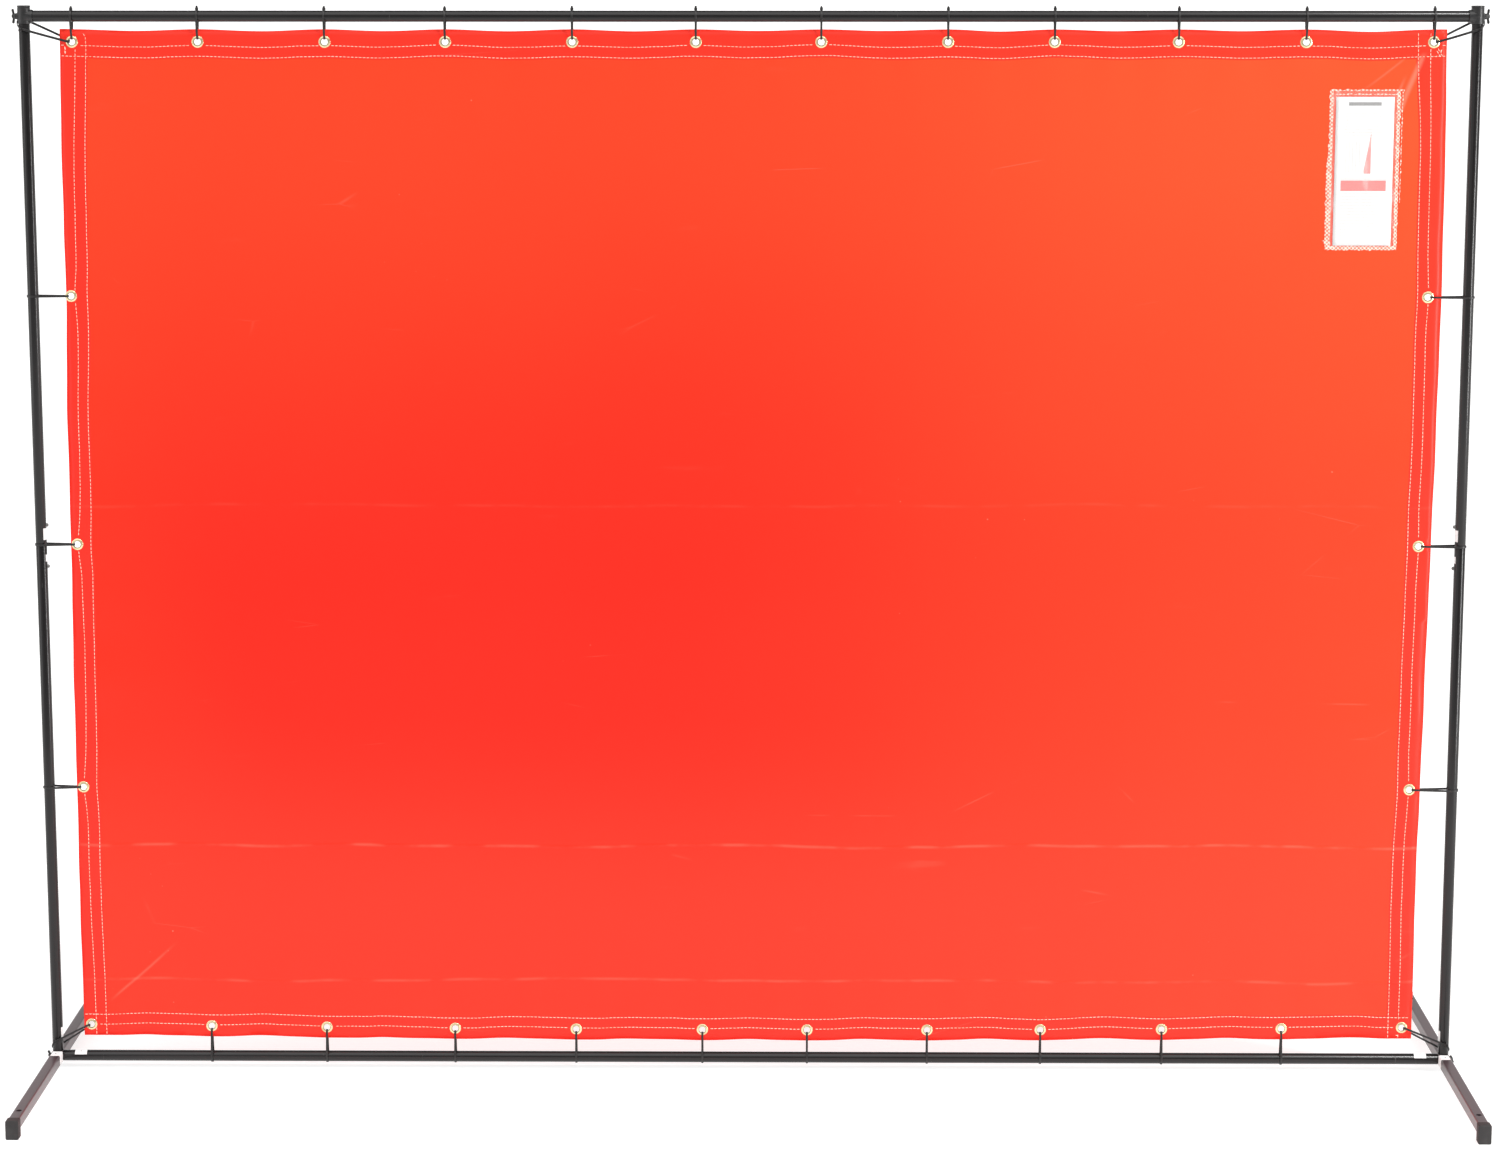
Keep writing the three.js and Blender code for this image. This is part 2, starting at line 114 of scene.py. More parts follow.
class Sketch:
    # the node tree of one finish
    def __init__(self, name, world=None):
        self.owner = world or bpy.data.materials.new(name)
        self.owner.use_nodes = True
        self.tree = self.owner.node_tree
        self.tree.nodes.clear()

    def node(self, kind, settings=None, sockets=None, output=0):
        made = self.tree.nodes.new("ShaderNode" + kind)
        for key, value in (settings or {}).items():
            setattr(made, key, value)
        for key, value in (sockets or {}).items():
            if isinstance(value, Wire):
                self.tree.links.new(value.socket, made.inputs[key])
            else:
                made.inputs[key].default_value = value
        return Wire(self, made.outputs[output]) if made.outputs else None

    def place(self):
        return self.node("TexCoord", output="Object")

    def axes(self):
        where = self.place()
        return [self.node("SeparateXYZ", sockets={0: where}, output=i) for i in range(3)]

    def stretched(self, x, y, z):
        return self.node("VectorMath", {"operation": "MULTIPLY"}, {0: self.place(), 1: (x, y, z)})

    def grain(self, scale, detail=3.0, rough=0.5, where=None):
        return self.node(
            "TexNoise", sockets={"Vector": where or self.place(), "Scale": scale,
                                 "Detail": detail, "Roughness": rough})

    def cells(self, scale, where, feature="F1"):
        return self.node("TexVoronoi", {"feature": feature}, {"Vector": where, "Scale": scale})

    def mix(self, factor, first, second):
        return self.node("Mix", {"data_type": "RGBA"}, {0: factor, 6: first, 7: second}, output=2)

    def bump(self, height, depth):
        return self.node("Bump", sockets={"Height": height, "Distance": depth * mm, "Strength": 1.0})

    def finish(self, **values):
        sockets = {socketNames[key]: value for key, value in values.items()}
        surface = self.node("BsdfPrincipled", sockets=sockets)
        self.node("OutputMaterial", sockets={"Surface": surface})
        return self.owner


socketNames = {
    "color": "Base Color", "rough": "Roughness", "metal": "Metallic", "normal": "Normal",
    "alpha": "Alpha", "specular": "Specular IOR Level", "glow": "Emission Color",
    "glowPower": "Emission Strength",
}


# Finishes

paint = {"color": (0.0075, 0.0068, 0.0070, 1), "worn": (0.055, 0.050, 0.050, 1), "rough": 0.17,
         "peel": 0.008, "peelScale": 420, "specular": 0.40}


def scaled(color, share):
    return [part * share for part in color[:3]] + [1]


def tubePaint(name, look):
    s = Sketch(name)
    cloud = s.grain(9, 4)
    peel = s.grain(look["peelScale"], 2)
    streak = s.grain(1.0, 3, where=s.stretched(160, 160, 9))
    scuff = streak.ramp(0.70, 0.78) * s.grain(46, 4).ramp(0.46, 0.62)
    tint = s.mix(cloud.ramp(0.35, 0.7) * 0.5, look["color"], scaled(look["color"], 1.5))
    return s.finish(
        color=s.mix(scuff * 0.55, tint, look["worn"]),
        rough=look["rough"] + cloud * 0.07 + scuff * 0.22 + peel * 0.05,
        specular=look["specular"],
        normal=s.bump(peel + scuff * 0.8, look["peel"]))


framePaint = tubePaint("framePaint", paint)
feetPaint = tubePaint("feetPaint", {
    "color": (0.046, 0.027, 0.031, 1), "worn": (0.14, 0.11, 0.11, 1), "rough": 0.26,
    "peel": 0.014, "peelScale": 380, "specular": 0.62})
boltPaint = tubePaint("boltPaint", {
    "color": (0.0105, 0.010, 0.010, 1), "worn": (0.16, 0.15, 0.14, 1), "rough": 0.36,
    "peel": 0.030, "peelScale": 900, "specular": 0.5})


def rubber():
    s = Sketch("capRubber")
    pores = s.grain(1500, 3)
    dust = s.grain(60, 5).ramp(0.45, 0.75)
    return s.finish(
        color=s.mix(dust * 0.5, (0.028, 0.0265, 0.027, 1), (0.062, 0.060, 0.059, 1)),
        rough=0.72 + dust * 0.18, specular=0.35,
        normal=s.bump(pores + dust * 0.3, 0.05))


def fittingPlastic():
    s = Sketch("fittingPlastic")
    texture = s.grain(1100, 3)
    cloud = s.grain(70, 4)
    return s.finish(
        color=s.mix(cloud.ramp(0.4, 0.7), (0.011, 0.011, 0.0115, 1), (0.020, 0.0195, 0.020, 1)),
        rough=0.31 + cloud * 0.16, specular=0.5,
        normal=s.bump(texture + cloud, 0.035))


def plated(name, color, rough, streaks):
    s = Sketch(name)
    brushed = s.grain(1.0, 3, where=s.stretched(*streaks))
    stain = s.grain(160, 5).ramp(0.45, 0.75)
    return s.finish(
        color=s.mix(stain * 0.5, color, scaled(color, 0.62)), metal=1.0,
        rough=rough + brushed * 0.12 + stain * 0.12,
        normal=s.bump(brushed, 0.012))


buttonSteel = plated("buttonSteel", (0.17, 0.165, 0.16, 1), 0.28, (900, 900, 60))
connectorZinc = plated("connectorZinc", (0.62, 0.63, 0.65, 1), 0.30, (700, 700, 30))


def grommetBrass():
    s = Sketch("grommetBrass")
    lay = s.grain(260, 4)
    tarnish = s.grain(95, 5).ramp(0.48, 0.78)
    return s.finish(
        color=s.mix(tarnish * 0.7, (0.80, 0.70, 0.42, 1), (0.42, 0.32, 0.14, 1)),
        metal=0.82, rough=0.18 + lay * 0.14 + tarnish * 0.12,
        normal=s.bump(lay, 0.02))


def tieNylon():
    s = Sketch("tieNylon")
    x, y, z = s.axes()
    flow = s.grain(240, 3)
    ladder = (x + z * 1.31 + y * 0.7).wave(0.0011)
    return s.finish(
        color=s.mix(flow.ramp(0.4, 0.7), (0.0085, 0.0080, 0.0082, 1), (0.020, 0.018, 0.018, 1)),
        rough=0.34 + flow * 0.15, specular=0.5,
        normal=s.bump(ladder * 0.5 + flow, 0.02))


def thread():
    s = Sketch("hemThread")
    fray = s.grain(900, 4)
    soil = s.grain(22, 4).ramp(0.40, 0.75)
    return s.finish(
        color=s.mix(soil, (0.98, 0.62, 0.50, 1), (1.0, 0.40, 0.28, 1)),
        rough=0.66 + fray * 0.2, specular=0.25,
        normal=s.bump(fray, 0.12))


vinyl = {
    "middle": (0.90, 0.0180, 0.0090, 1),
    "lit": (0.93, 0.074, 0.0225, 1),         # painted light, towards the upper right
    "foot": (0.92, 0.044, 0.0225, 1),
    "hem": (0.90, 0.0290, 0.0185, 1),
    "marksAndSheen": (0.96, 0.30, 0.21, 1),           # where the surface is rubbed, and painted highlight along the tie pulls
    "folds": ((0.404, 0.75), (0.162, 0.6), (1.005, 0.18)),   # storage folds: height in metres, depth
    # creases where the ties pull: lean, shift, width, strength, and where they fade in and out
    "topPulls": (((0.93, 0.37), 0.0, 0.0075, 1.0, "z", (-0.014, -0.03), (-0.20, -0.11)),
                 ((0.93, 0.37), 0.013, 0.0045, 0.6, "z", (-0.05, -0.08), (-0.17, -0.11)),
                 ((0.62, 0.78), 0.004, 0.0035, 0.4, "x", (-0.03, -0.05), (-0.12, -0.08))),
    "lowPulls": (((0.66, 0.75), 0.01, 0.004, 0.5, "x", (0.03, 0.06), (0.16, 0.11)),),
    # painted light: the sheet glows faintly in its own colour
    "glow": 0.03,
}


def curtainVinyl(name, isHem):
    s = Sketch(name)
    x, y, z = s.axes()
    slow = s.grain(1.15, 2) - 0.5
    fine = s.grain(420, 3)
    orange = s.grain(36, 4)
    # painted light: the sheet is painted lighter towards the top, the right and both side edges
    high = (z + slow * 0.20).ramp(0.86, 1.78) * 0.55
    right = (x + slow * 0.30).ramp(-0.25, 1.05) * 0.42
    rise = high + right
    low = (z + slow * 0.16).ramp(0.66, 0.26)
    edgeLight = abs(x + slow * 0.3).ramp(0.85, 1.2) * 0.12
    base = s.mix(rise, vinyl["middle"], vinyl["lit"])
    base = s.mix(edgeLight, base, vinyl["lit"])
    base = s.mix(low * 0.55, base, vinyl["foot"])
    if isHem:
        base = s.mix(0.82, base, vinyl["hem"])
    creaseWander = (s.grain(3.2, 2) - 0.5) * 0.02
    crease = 0.0
    for height, depth in vinyl["folds"]:
        crease = abs(z - height + creaseWander).ramp(0.0045, 0.0) * depth + crease
    crinkle = s.cells(4.2, s.stretched(0.55, 1, 1.9), "DISTANCE_TO_EDGE")
    mark = crinkle.ramp(0.008, 0.0) * s.grain(5.5, 3).ramp(0.60, 0.70)
    upright = abs(x - 0.14 + creaseWander * 1.4).ramp(0.004, 0.0) * 0.12
    near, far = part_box("curtain")
    wander = (s.grain(9, 2) - 0.5) * 0.008
    pull = 0.0
    for corner, pulls in (((far.x - 0.033, far.z - 0.020), "topPulls"),
                          ((near.x + 0.016, near.z + 0.025), "lowPulls")):
        away = {"x": x - corner[0], "z": z - corner[1]}
        for lean, shift, width, strength, axis, fadeIn, fadeOut in vinyl[pulls]:
            line = abs(away["x"] * lean[0] - away["z"] * lean[1] + shift + wander).ramp(width, 0.0)
            pull = line * strength * away[axis].ramp(*fadeIn) * away[axis].ramp(*fadeOut) + pull
    dots = s.cells(34, s.place()).ramp(0.052, 0.032) * s.grain(2.6, 3).ramp(0.58, 0.68)
    rubbed = s.grain(1.0, 3, where=s.stretched(5, 5, 34)).ramp(0.66, 0.78)
    rubbed = rubbed * s.grain(7, 3).ramp(0.5, 0.7)
    faint = crease * s.grain(14, 3).ramp(0.38, 0.62)
    # whitish marks: rubbed streaks, specks and crease marks, and a painted highlight along the creases where
    # the ties pull
    marksAndSheen = faint * 0.22 + pull * 0.34 + mark * 0.10 + dots * 0.5 + rubbed * 0.06
    height = crease * 1.4 + pull * 1.2 + mark * 0.7 + upright + orange * 0.35 + fine * 0.03
    color = s.mix(marksAndSheen, base, vinyl["marksAndSheen"])
    return s.finish(
        color=color, glow=color, glowPower=vinyl["glow"],
        rough=0.27 + orange * 0.10 + marksAndSheen * 0.3, specular=0.14,
        normal=s.bump(height, 0.45))


def pouchFilm():
    s = Sketch("pouchFilm")
    ripple = s.grain(1.0, 3, where=s.stretched(60, 60, 18))
    smear = ripple.ramp(0.52, 0.74)
    return s.finish(
        color=(1.0, 0.93, 0.90, 1), alpha=0.05 + smear * 0.12,
        rough=0.16 + smear * 0.2, specular=0.5,
        normal=s.bump(ripple, 0.5))


def pouchWeld():
    s = Sketch("pouchWeld")
    x, y, z = s.axes()
    press = x.wave(0.0064) * z.wave(0.0064)
    bite = s.grain(150, 4)
    open = (press * 0.5 + bite * 1.2).ramp(0.42, 0.86)
    return s.finish(
        color=s.mix(open, (1.0, 0.60, 0.50, 1), (1.0, 0.30, 0.20, 1)),
        alpha=1 - open * 0.55, rough=0.34 + bite * 0.3, specular=0.5,
        normal=s.bump(press + bite, 0.3))


card = {"white": (0.71, 0.715, 0.71, 1), "grey": (0.10, 0.11, 0.11, 1), "pale": (0.42, 0.43, 0.43, 1),
        "pink": (0.80, 0.10, 0.09, 1)}


def cardPrint():
    # plain ruled marks only, placed from the card's own box
    s = Sketch("cardPrint")
    x, y, z = s.axes()
    low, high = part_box("document_card")
    u = (x - low.x) / (high.x - low.x)
    v = (z - low.z) / (high.z - low.z)
    worn = s.grain(700, 3)
    rules = v.wave(0.0205) > 0.45
    ragged = u < 0.78 + (s.grain(1.0, 1, where=s.stretched(3, 3, 170)) - 0.5) * 0.5
    texts = v.within(0.74, 0.90) * u.within(0.13, 0.87) + v.within(0.06, 0.37) * u.within(0.10, 0.90)
    lines = rules * ragged * texts
    heading = v.within(0.941, 0.965) * u.within(0.22, 0.78)
    bars = (u.wave(0.058) > 0.2) * u.within(0.18, 0.46) * v.within(0.49, 0.70)
    wedge = (v - 0.485) * 0.62
    spike = u.within(0.50, 0.64) * (v > 0.485) * ((u - 0.49) * 1.35 > wedge) * (u < 0.62)
    band = u.within(0.11, 0.89) * v.within(0.368, 0.440)
    rule = v.within(0.447, 0.452) * u.within(0.10, 0.90)
    color = s.mix(lines * 0.62 + bars * 0.55, card["white"], card["pale"])
    color = s.mix(heading * 0.8 + rule * 0.6, color, card["grey"])
    color = s.mix(spike * 0.80 + band * 0.90, color, card["pink"])
    return s.finish(
        color=color, rough=0.42 + worn * 0.16, specular=0.4,
        normal=s.bump(worn, 0.02))


def labelPaper():
    s = Sketch("labelPaper")
    fibre = s.grain(900, 4)
    grime = s.grain(130, 4).ramp(0.5, 0.8)
    return s.finish(
        color=s.mix(grime * 0.5, (0.74, 0.73, 0.725, 1), (0.45, 0.43, 0.43, 1)),
        rough=0.55 + fibre * 0.2, specular=0.3,
        normal=s.bump(fibre, 0.03))


def labelInk():
    s = Sketch("labelInk")
    patch = s.grain(600, 3)
    return s.finish(
        color=s.mix(patch, (0.05, 0.03, 0.03, 1), (0.12, 0.08, 0.08, 1)),
        rough=0.5 + patch * 0.2, normal=s.bump(patch, 0.01))


def studioFloor():
    # bright round the screen and falling off towards the camera
    s = Sketch("studioFloor")
    x, y, z = s.axes()
    cloth = s.grain(35, 3)
    near = y.ramp(-5.2, -2.2)
    bright = s.mix(cloth, (0.43, 0.43, 0.43, 1), (0.47, 0.47, 0.465, 1))
    return s.finish(
        color=s.mix(near, (0.30, 0.30, 0.30, 1), bright),
        glow=s.mix(near, (0.22, 0.22, 0.22, 1), (1, 1, 1, 1)), glowPower=0.72,
        rough=0.8 + cloth * 0.1, specular=0.1, normal=s.bump(cloth, 0.05))


finishes = {
    "rubber": rubber(), "plastic": fittingPlastic(), "brass": grommetBrass(),
    # painted shade: dark brass for the grommet throats
    "throat": plated("throatShadeBrass", (0.17, 0.13, 0.055, 1), 0.34, (300, 300, 300)),
    "nylon": tieNylon(), "thread": thread(),
    "sheet": curtainVinyl("curtainVinyl", False), "hem": curtainVinyl("hemVinyl", True),
    "film": pouchFilm(), "weld": pouchWeld(), "card": cardPrint(),
    "label": labelPaper(), "ink": labelInk(),
}
print("finishes made")


# Mesh building

class Build:
    # gathers points and faces in millimetres and turns them into one piece
    def __init__(self):
        self.points = []
        self.faces = []
        self.looks = []

    def add(self, shape, place=None, look=0):
        points, faces = shape
        start = len(self.points)
        self.points += [place @ Vector(p) for p in points] if place else [Vector(p) for p in points]
        self.faces += [[start + i for i in face] for face in faces]
        self.looks += [look] * len(faces)
        return self

    def mesh(self, name, materials, sharp=38, tidy=True):
        made = bpy.data.meshes.new(name)
        made.from_pydata([p * mm for p in self.points], [], self.faces)
        for material in materials:
            made.materials.append(material)
        made.polygons.foreach_set("material_index", self.looks)
        if tidy:
            work = bmesh.new()
            work.from_mesh(made)
            bmesh.ops.recalc_face_normals(work, faces=work.faces)
            work.to_mesh(made)
            work.free()
        return smoothed(made, sharp)

    def piece(self, name, materials, slot=None, stands=(), body="screen", sharp=38, tidy=True):
        return addPiece(name, self.mesh(name, materials, sharp, tidy), stands, body)


def smoothed(mesh, sharp):
    mesh.polygons.foreach_set("use_smooth", [True] * len(mesh.polygons))
    mesh.set_sharp_from_angle(angle=math.radians(sharp))
    mesh.update()
    return mesh


def shown(name, data):
    made = bpy.data.objects.new(name, data)
    scene.collection.objects.link(made)
    return made


def evaluated(piece):
    bpy.context.view_layer.update()
    return bpy.data.meshes.new_from_object(piece.evaluated_get(bpy.context.evaluated_depsgraph_get()))


def addPiece(name, mesh, stands=(), body="screen"):
    piece = shown(name, mesh)
    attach(piece, body)
    if stands:
        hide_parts(*stands)
    return piece


def carved(name, material, adds, cuts, sharp=38):
    # joins the first shapes and cuts the others out of them
    helpers = [shown(f"{name}Part{number}", build.mesh(f"{name}Part{number}", [material]))
               for number, build in enumerate(adds + cuts)]
    body = helpers[0]
    for number, helper in enumerate(helpers[1:], 1):
        step = body.modifiers.new("join", "BOOLEAN")
        step.operation = "UNION" if number < len(adds) else "DIFFERENCE"
        step.solver = "EXACT"
        step.object = helper
    made = evaluated(body)
    made.name = name
    for helper in helpers:
        bpy.data.objects.remove(helper)
    return smoothed(made, sharp)


def bridge(lower, upper, faces):
    # faces between two rings of point numbers; a ring of one point is a tip
    count = max(len(lower), len(upper))
    for i in range(count):
        j = (i + 1) % count
        if len(lower) == 1:
            faces.append([lower[0], upper[i], upper[j]])
        elif len(upper) == 1:
            faces.append([lower[i], upper[0], lower[j]])
        else:
            faces.append([lower[i], upper[i], upper[j], lower[j]])


def loft(sections, closed=False, capped=False):
    # joins rings of points one after another
    points, rings, faces = [], [], []
    for section in sections:
        rings.append(list(range(len(points), len(points) + len(section))))
        points += section
    for lower, upper in zip(rings, rings[1:] + rings[:1] if closed else rings[1:]):
        bridge(lower, upper, faces)
    if capped:
        faces += [rings[0][::-1], rings[-1]]
    return points, faces


def circle(radius, steps):
    turns = [2 * math.pi * i / steps for i in range(steps)]
    return [(radius * math.cos(turn), radius * math.sin(turn)) for turn in turns]


def lathe(profile, steps, closed=False):
    # profile lists radius and height; a closed one comes back to its first point
    return loft([[(a, b, height) for a, b in circle(radius, 1 if radius < 1e-6 else steps)]
                 for radius, height in profile], closed)


def prism(outline, start, end, bevel=0.0, steps=3, hole=None):
    # an outline in X and Z run along Y, with rounded rims
    stations = [(start, 0), (end, 0)]
    if bevel:
        turns = [math.pi / 2 * i / steps for i in range(steps + 1)]
        stations = [(start + bevel * (1 - math.cos(t)), bevel * (1 - math.sin(t))) for t in turns]
        stations += [(end - (y - start), inset) for y, inset in reversed(stations)]
    centre = sum((Vector(p) for p in outline), Vector((0, 0))) / len(outline)
    reach = [max(abs(p[k] - centre[k]) for p in outline) for k in (0, 1)]
    sections = []
    for y, inset in stations:
        scale = [(reach[k] - inset) / reach[k] for k in (0, 1)]
        sections.append([(centre[0] + (p[0] - centre[0]) * scale[0], y,
                          centre[1] + (p[1] - centre[1]) * scale[1]) for p in outline])
    if hole:
        sections += [[(p[0], y, p[1]) for p in hole] for y in (end, start)]
    return loft(sections, closed=bool(hole), capped=not hole)


def roundedBox(width, height, corner, steps=6, centre=(0, 0)):
    outline = []
    for k, (sx, sz) in enumerate(((1, 1), (-1, 1), (-1, -1), (1, -1))):
        for i in range(steps + 1):
            turn = math.pi / 2 * (k + i / steps)
            outline.append((centre[0] + sx * (width / 2 - corner) + corner * math.cos(turn),
                            centre[1] + sz * (height / 2 - corner) + corner * math.sin(turn)))
    return outline


def softened(profile, radius, steps=4, closed=False):
    # rounds the corners of a profile
    out, count = [], len(profile)
    for i, here in enumerate(profile):
        here = Vector(here)
        if not closed and i in (0, count - 1):
            out.append(tuple(here))
            continue
        before, after = Vector(profile[i - 1]) - here, Vector(profile[(i + 1) % count]) - here
        reach = min(radius, before.length * 0.45, after.length * 0.45)
        a, b = here + before.normalized() * reach, here + after.normalized() * reach
        for k in range(steps + 1):
            t = k / steps
            out.append(tuple(a * (1 - t) ** 2 + here * 2 * t * (1 - t) + b * t ** 2))
    return out


def sweep(centres, outs, wides, section, closed=False):
    # section points are (out, wide); each path point gives its own out and wide direction
    return loft([[centre + out * a + wide * b for a, b in section]
                 for centre, out, wide in zip(centres, outs, wides)], closed, not closed)


def gridFaces(across, up):
    row = across + 1
    return [[a, a + 1, a + 1 + row, a + row] for k in range(up) for a in range(k * row, k * row + across)]


def alongX(place=(0, 0, 0), flip=False):
    return Matrix.Translation(place) @ Matrix.Rotation(math.radians(-90 if flip else 90), 4, "Y")


def solid(shape, place=None):
    return Build().add(shape, place)


def drill(radius, start, end, place, steps=48):
    # a round bar that is cut out of something
    return solid(lathe([(0, start), (radius, start), (radius, end), (0, end)], steps), place)


# Tube frame

tube = {"wall": 1.2, "edge": 0.5, "steps": 88, "buttonHole": 3.3, "boltHole": 3.3, "plug": 14,
        "plugEdge": 0.6}


def tubeProfile(outer, inner, start, end, edge):
    return [(inner, start), (outer - edge, start), (outer - edge * 0.3, start + edge * 0.3),
            (outer, start + edge), (outer, end - edge), (outer - edge * 0.3, end - edge * 0.3),
            (outer - edge, end), (inner, end)]


def makeRail(name):
    low, high = box(name)
    outer = (high.z - low.z) / 2
    bore, hole, plug = outer - tube["wall"], tube["boltHole"], tube["plug"]
    length = high.x - low.x
    edge, ease = tube["edge"], tube["plugEdge"]
    profile = [(hole, ease), (hole + ease, 0), (outer - edge, 0),
               (outer - edge * 0.3, edge * 0.3), (outer, edge),
               (outer, length / 3), (outer, length * 2 / 3), (outer, length - edge),
               (outer - edge * 0.3, length - edge * 0.3), (outer - edge, length),
               (hole + ease, length), (hole, length - ease), (hole, length - plug),
               (bore, length - plug), (bore, plug), (hole, plug)]
    place = alongX((low.x, 0, (low.z + high.z) / 2))
    solid(lathe(profile, tube["steps"], True), place).piece(
        name + "_tube", [framePaint], "frame_paint", [name])


for name in ("top_rail", "bottom_rail"):
    makeRail(name)


def makePost(name, side, level):
    node = f"post_{name}_{level}"
    low, high = box(node)
    outer = (high.x - low.x) / 2
    x = (low.x + high.x) / 2
    profile = tubeProfile(outer, outer - tube["wall"], low.z, high.z, tube["edge"])
    body = solid(lathe(profile, tube["steps"], True), Matrix.Translation((x, 0, 0)))
    buttonZ = middle(f"snap_button_{name}_{level}").z
    cuts = [drill(tube["buttonHole"], 0, 2 * outer, alongX((x, 0, buttonZ), side > 0))]
    if level == "upper":
        boltZ = middle("top_rail").z
        cuts.append(drill(tube["boltHole"], -2 * outer, 2 * outer, alongX((x, 0, boltZ))))
    mesh = carved(node + "_tube", framePaint, [body], cuts)
    addPiece(node + "_tube", mesh, [node])


for name, side in sides:
    makePost(name, side, "lower")
    makePost(name, side, "upper")
    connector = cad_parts[f"post_connector_{name}"]
    connector.data.materials.clear()
    connector.data.materials.append(connectorZinc)
print("tubes made")


# Feet and their caps

foot = {"wall": 1.5, "corner": 2.2, "stubRadius": 8.025, "stubWall": 1.5, "stubEdge": 0.6,
        "anchorInset": 61, "anchorHole": 4.75}
cap = {"end": 3, "corner": 2.6, "rim": 1.3, "clearance": 0.3, "groove": 1.6, "grooveOff": 4}


def footSection(name):
    # middle x, middle z and side of the square tube, from the foot's own box and its bolt
    low, high = box(f"foot_{name}")
    side = high.x - low.x
    return (low.x + high.x) / 2, low.z + side / 2, side


def makeFoot(name):
    low, high = box(f"foot_{name}")
    x, z, side = footSection(name)
    wall, corner = foot["wall"], foot["corner"]
    outside = roundedBox(side, side, corner, 7, (x, z))
    inside = roundedBox(side - 2 * wall, side - 2 * wall, corner - wall / 2, 7, (x, z))
    stub = tubeProfile(foot["stubRadius"], foot["stubRadius"] - foot["stubWall"],
                       z + side / 2 - wall / 2, high.z, foot["stubEdge"])
    adds = [solid(prism(outside, low.y, high.y, hole=inside)),
            solid(lathe(stub, 64, True), Matrix.Translation((x, 0, 0)))]
    reach = box(f"foot_cap_{name}_rear")[1].y - foot["anchorInset"]
    cuts = [drill(tube["boltHole"], -side, side, alongX((x, 0, z)))]
    for y in (-reach, reach):
        cuts.append(drill(foot["anchorHole"], z - side, z + side, Matrix.Translation((x, y, 0))))
    mesh = carved(f"foot_{name}_bar", feetPaint, adds, cuts)
    addPiece(f"foot_{name}_bar", mesh, [f"foot_{name}"])


def makeCap(name, end):
    node = f"foot_cap_{name}_{end}"
    low, high = box(node)
    x, z, side = footSection(name)
    toward = -1 if end == "front" else 1
    outer = roundedBox(high.x - low.x, high.z - low.z, cap["corner"], 7, (x, (low.z + high.z) / 2))
    pocketSide = side + 2 * cap["clearance"]
    pocket = roundedBox(pocketSide, pocketSide, foot["corner"], 6, (x, z))
    pocketEnds = (low.y + cap["end"], high.y + 1) if toward < 0 else (low.y - 1, high.y - cap["end"])
    outside = solid(prism(outer, low.y, high.y, cap["rim"], 4))
    cuts = [solid(prism(pocket, *pocketEnds))]
    for step in (-1, 1):
        # grip grooves across the underside
        y = (low.y + high.y) / 2 + step * cap["grooveOff"]
        groove = roundedBox(cap["groove"], cap["groove"], 0.7, 4)
        turn = Matrix.Translation((x, y, low.z)) @ Matrix.Rotation(math.radians(90), 4, "Z")
        cuts.append(solid(prism(groove, -side, side), turn))
    mesh = carved(node + "_shell", finishes["rubber"], [outside], cuts, 32)
    addPiece(node + "_shell", mesh, [node])


for name, side in sides:
    makeFoot(name)
    makeCap(name, "front")
    makeCap(name, "rear")
print("feet made")


# Top corner fittings, wing bolts and snap buttons

fitting = {"bore": 9.825, "sleeve": 10.925, "below": 12.5, "above": 14.5, "lid": 3.5, "overhang": 0.3,
           "collar": 11.025, "collarReach": 15.225, "boss": 5.5, "seat": 12.125, "floor": 10.925}
bolt = {"shank": 3, "hub": 5, "hubLength": 8, "reach": 12.5, "thick": 2.3, "start": 3, "pitch": 1.0,
        "turns": {"left_top": 8, "left_bottom": 35, "right_top": 0, "right_bottom": 80}}
button = {"radius": 3.0, "leaf": 0.9}


def endPlace(side, x, z):
    # a place whose own +X points to the middle of the screen
    return Matrix.Translation((x, 0, z)) @ Matrix.Rotation(0 if side < 0 else math.pi, 4, "Z")


def makeFitting(name, side):
    f = fitting
    node = f"top_fitting_{name}"
    place = endPlace(side, middle(f"post_{name}_upper").x, middle("top_rail").z)
    top = f["above"] + f["lid"]
    lidRadius = f["sleeve"] + f["overhang"]
    body = softened([
        (0, -f["below"]), (f["sleeve"] - 0.1, -f["below"]), (f["sleeve"], -f["below"] + 0.9),
        (f["sleeve"], f["above"] - 0.5), (f["sleeve"] - 0.45, f["above"]),
        (f["sleeve"] - 0.45, f["above"] + 0.3), (lidRadius, f["above"] + 0.5),
        (lidRadius, top - 0.9), (lidRadius - 1.4, top),
        (lidRadius * 0.45, top - 0.25), (0, top - 0.3)], 0.5)
    collar = softened([
        (0, 0), (f["collar"], 0), (f["collar"], f["collarReach"] - 1.6),
        (f["collar"] - 0.25, f["collarReach"]), (0, f["collarReach"])], 0.5)
    boss = softened([(0, 0), (f["boss"] + 0.8, 0), (f["boss"] + 0.5, f["seat"] - 1.6),
                     (f["boss"], f["seat"]), (0, f["seat"])], 0.5)
    adds = [solid(lathe(body, 80), place), solid(lathe(collar, 80), place @ alongX()),
            solid(lathe(boss, 64), place @ alongX(flip=True))]
    cuts = [drill(f["bore"], -f["below"] - 1, f["above"] - 0.3, place, 80),
            drill(f["bore"], f["floor"], f["collarReach"] + 5, place @ alongX(), 80),
            drill(tube["boltHole"], -f["seat"] - 1, f["floor"] + 1, place @ alongX())]
    mesh = carved(node + "_body", finishes["plastic"], adds, cuts, 30)
    addPiece(node + "_body", mesh, [node])


def wingOutline():
    reach, start, end = bolt["reach"], bolt["start"], bolt["hubLength"]
    corners = [(-2, start - 0.8), (reach * 0.55, start + 0.1), (reach * 0.9, start + 0.7),
               (reach, start + 2.0), (reach, end - 1.2), (reach * 0.86, end), (reach * 0.66, end - 0.3),
               (reach * 0.40, end - 1.3), (-2, end - 1.0)]
    return softened(corners, 1.3, 5, closed=True)


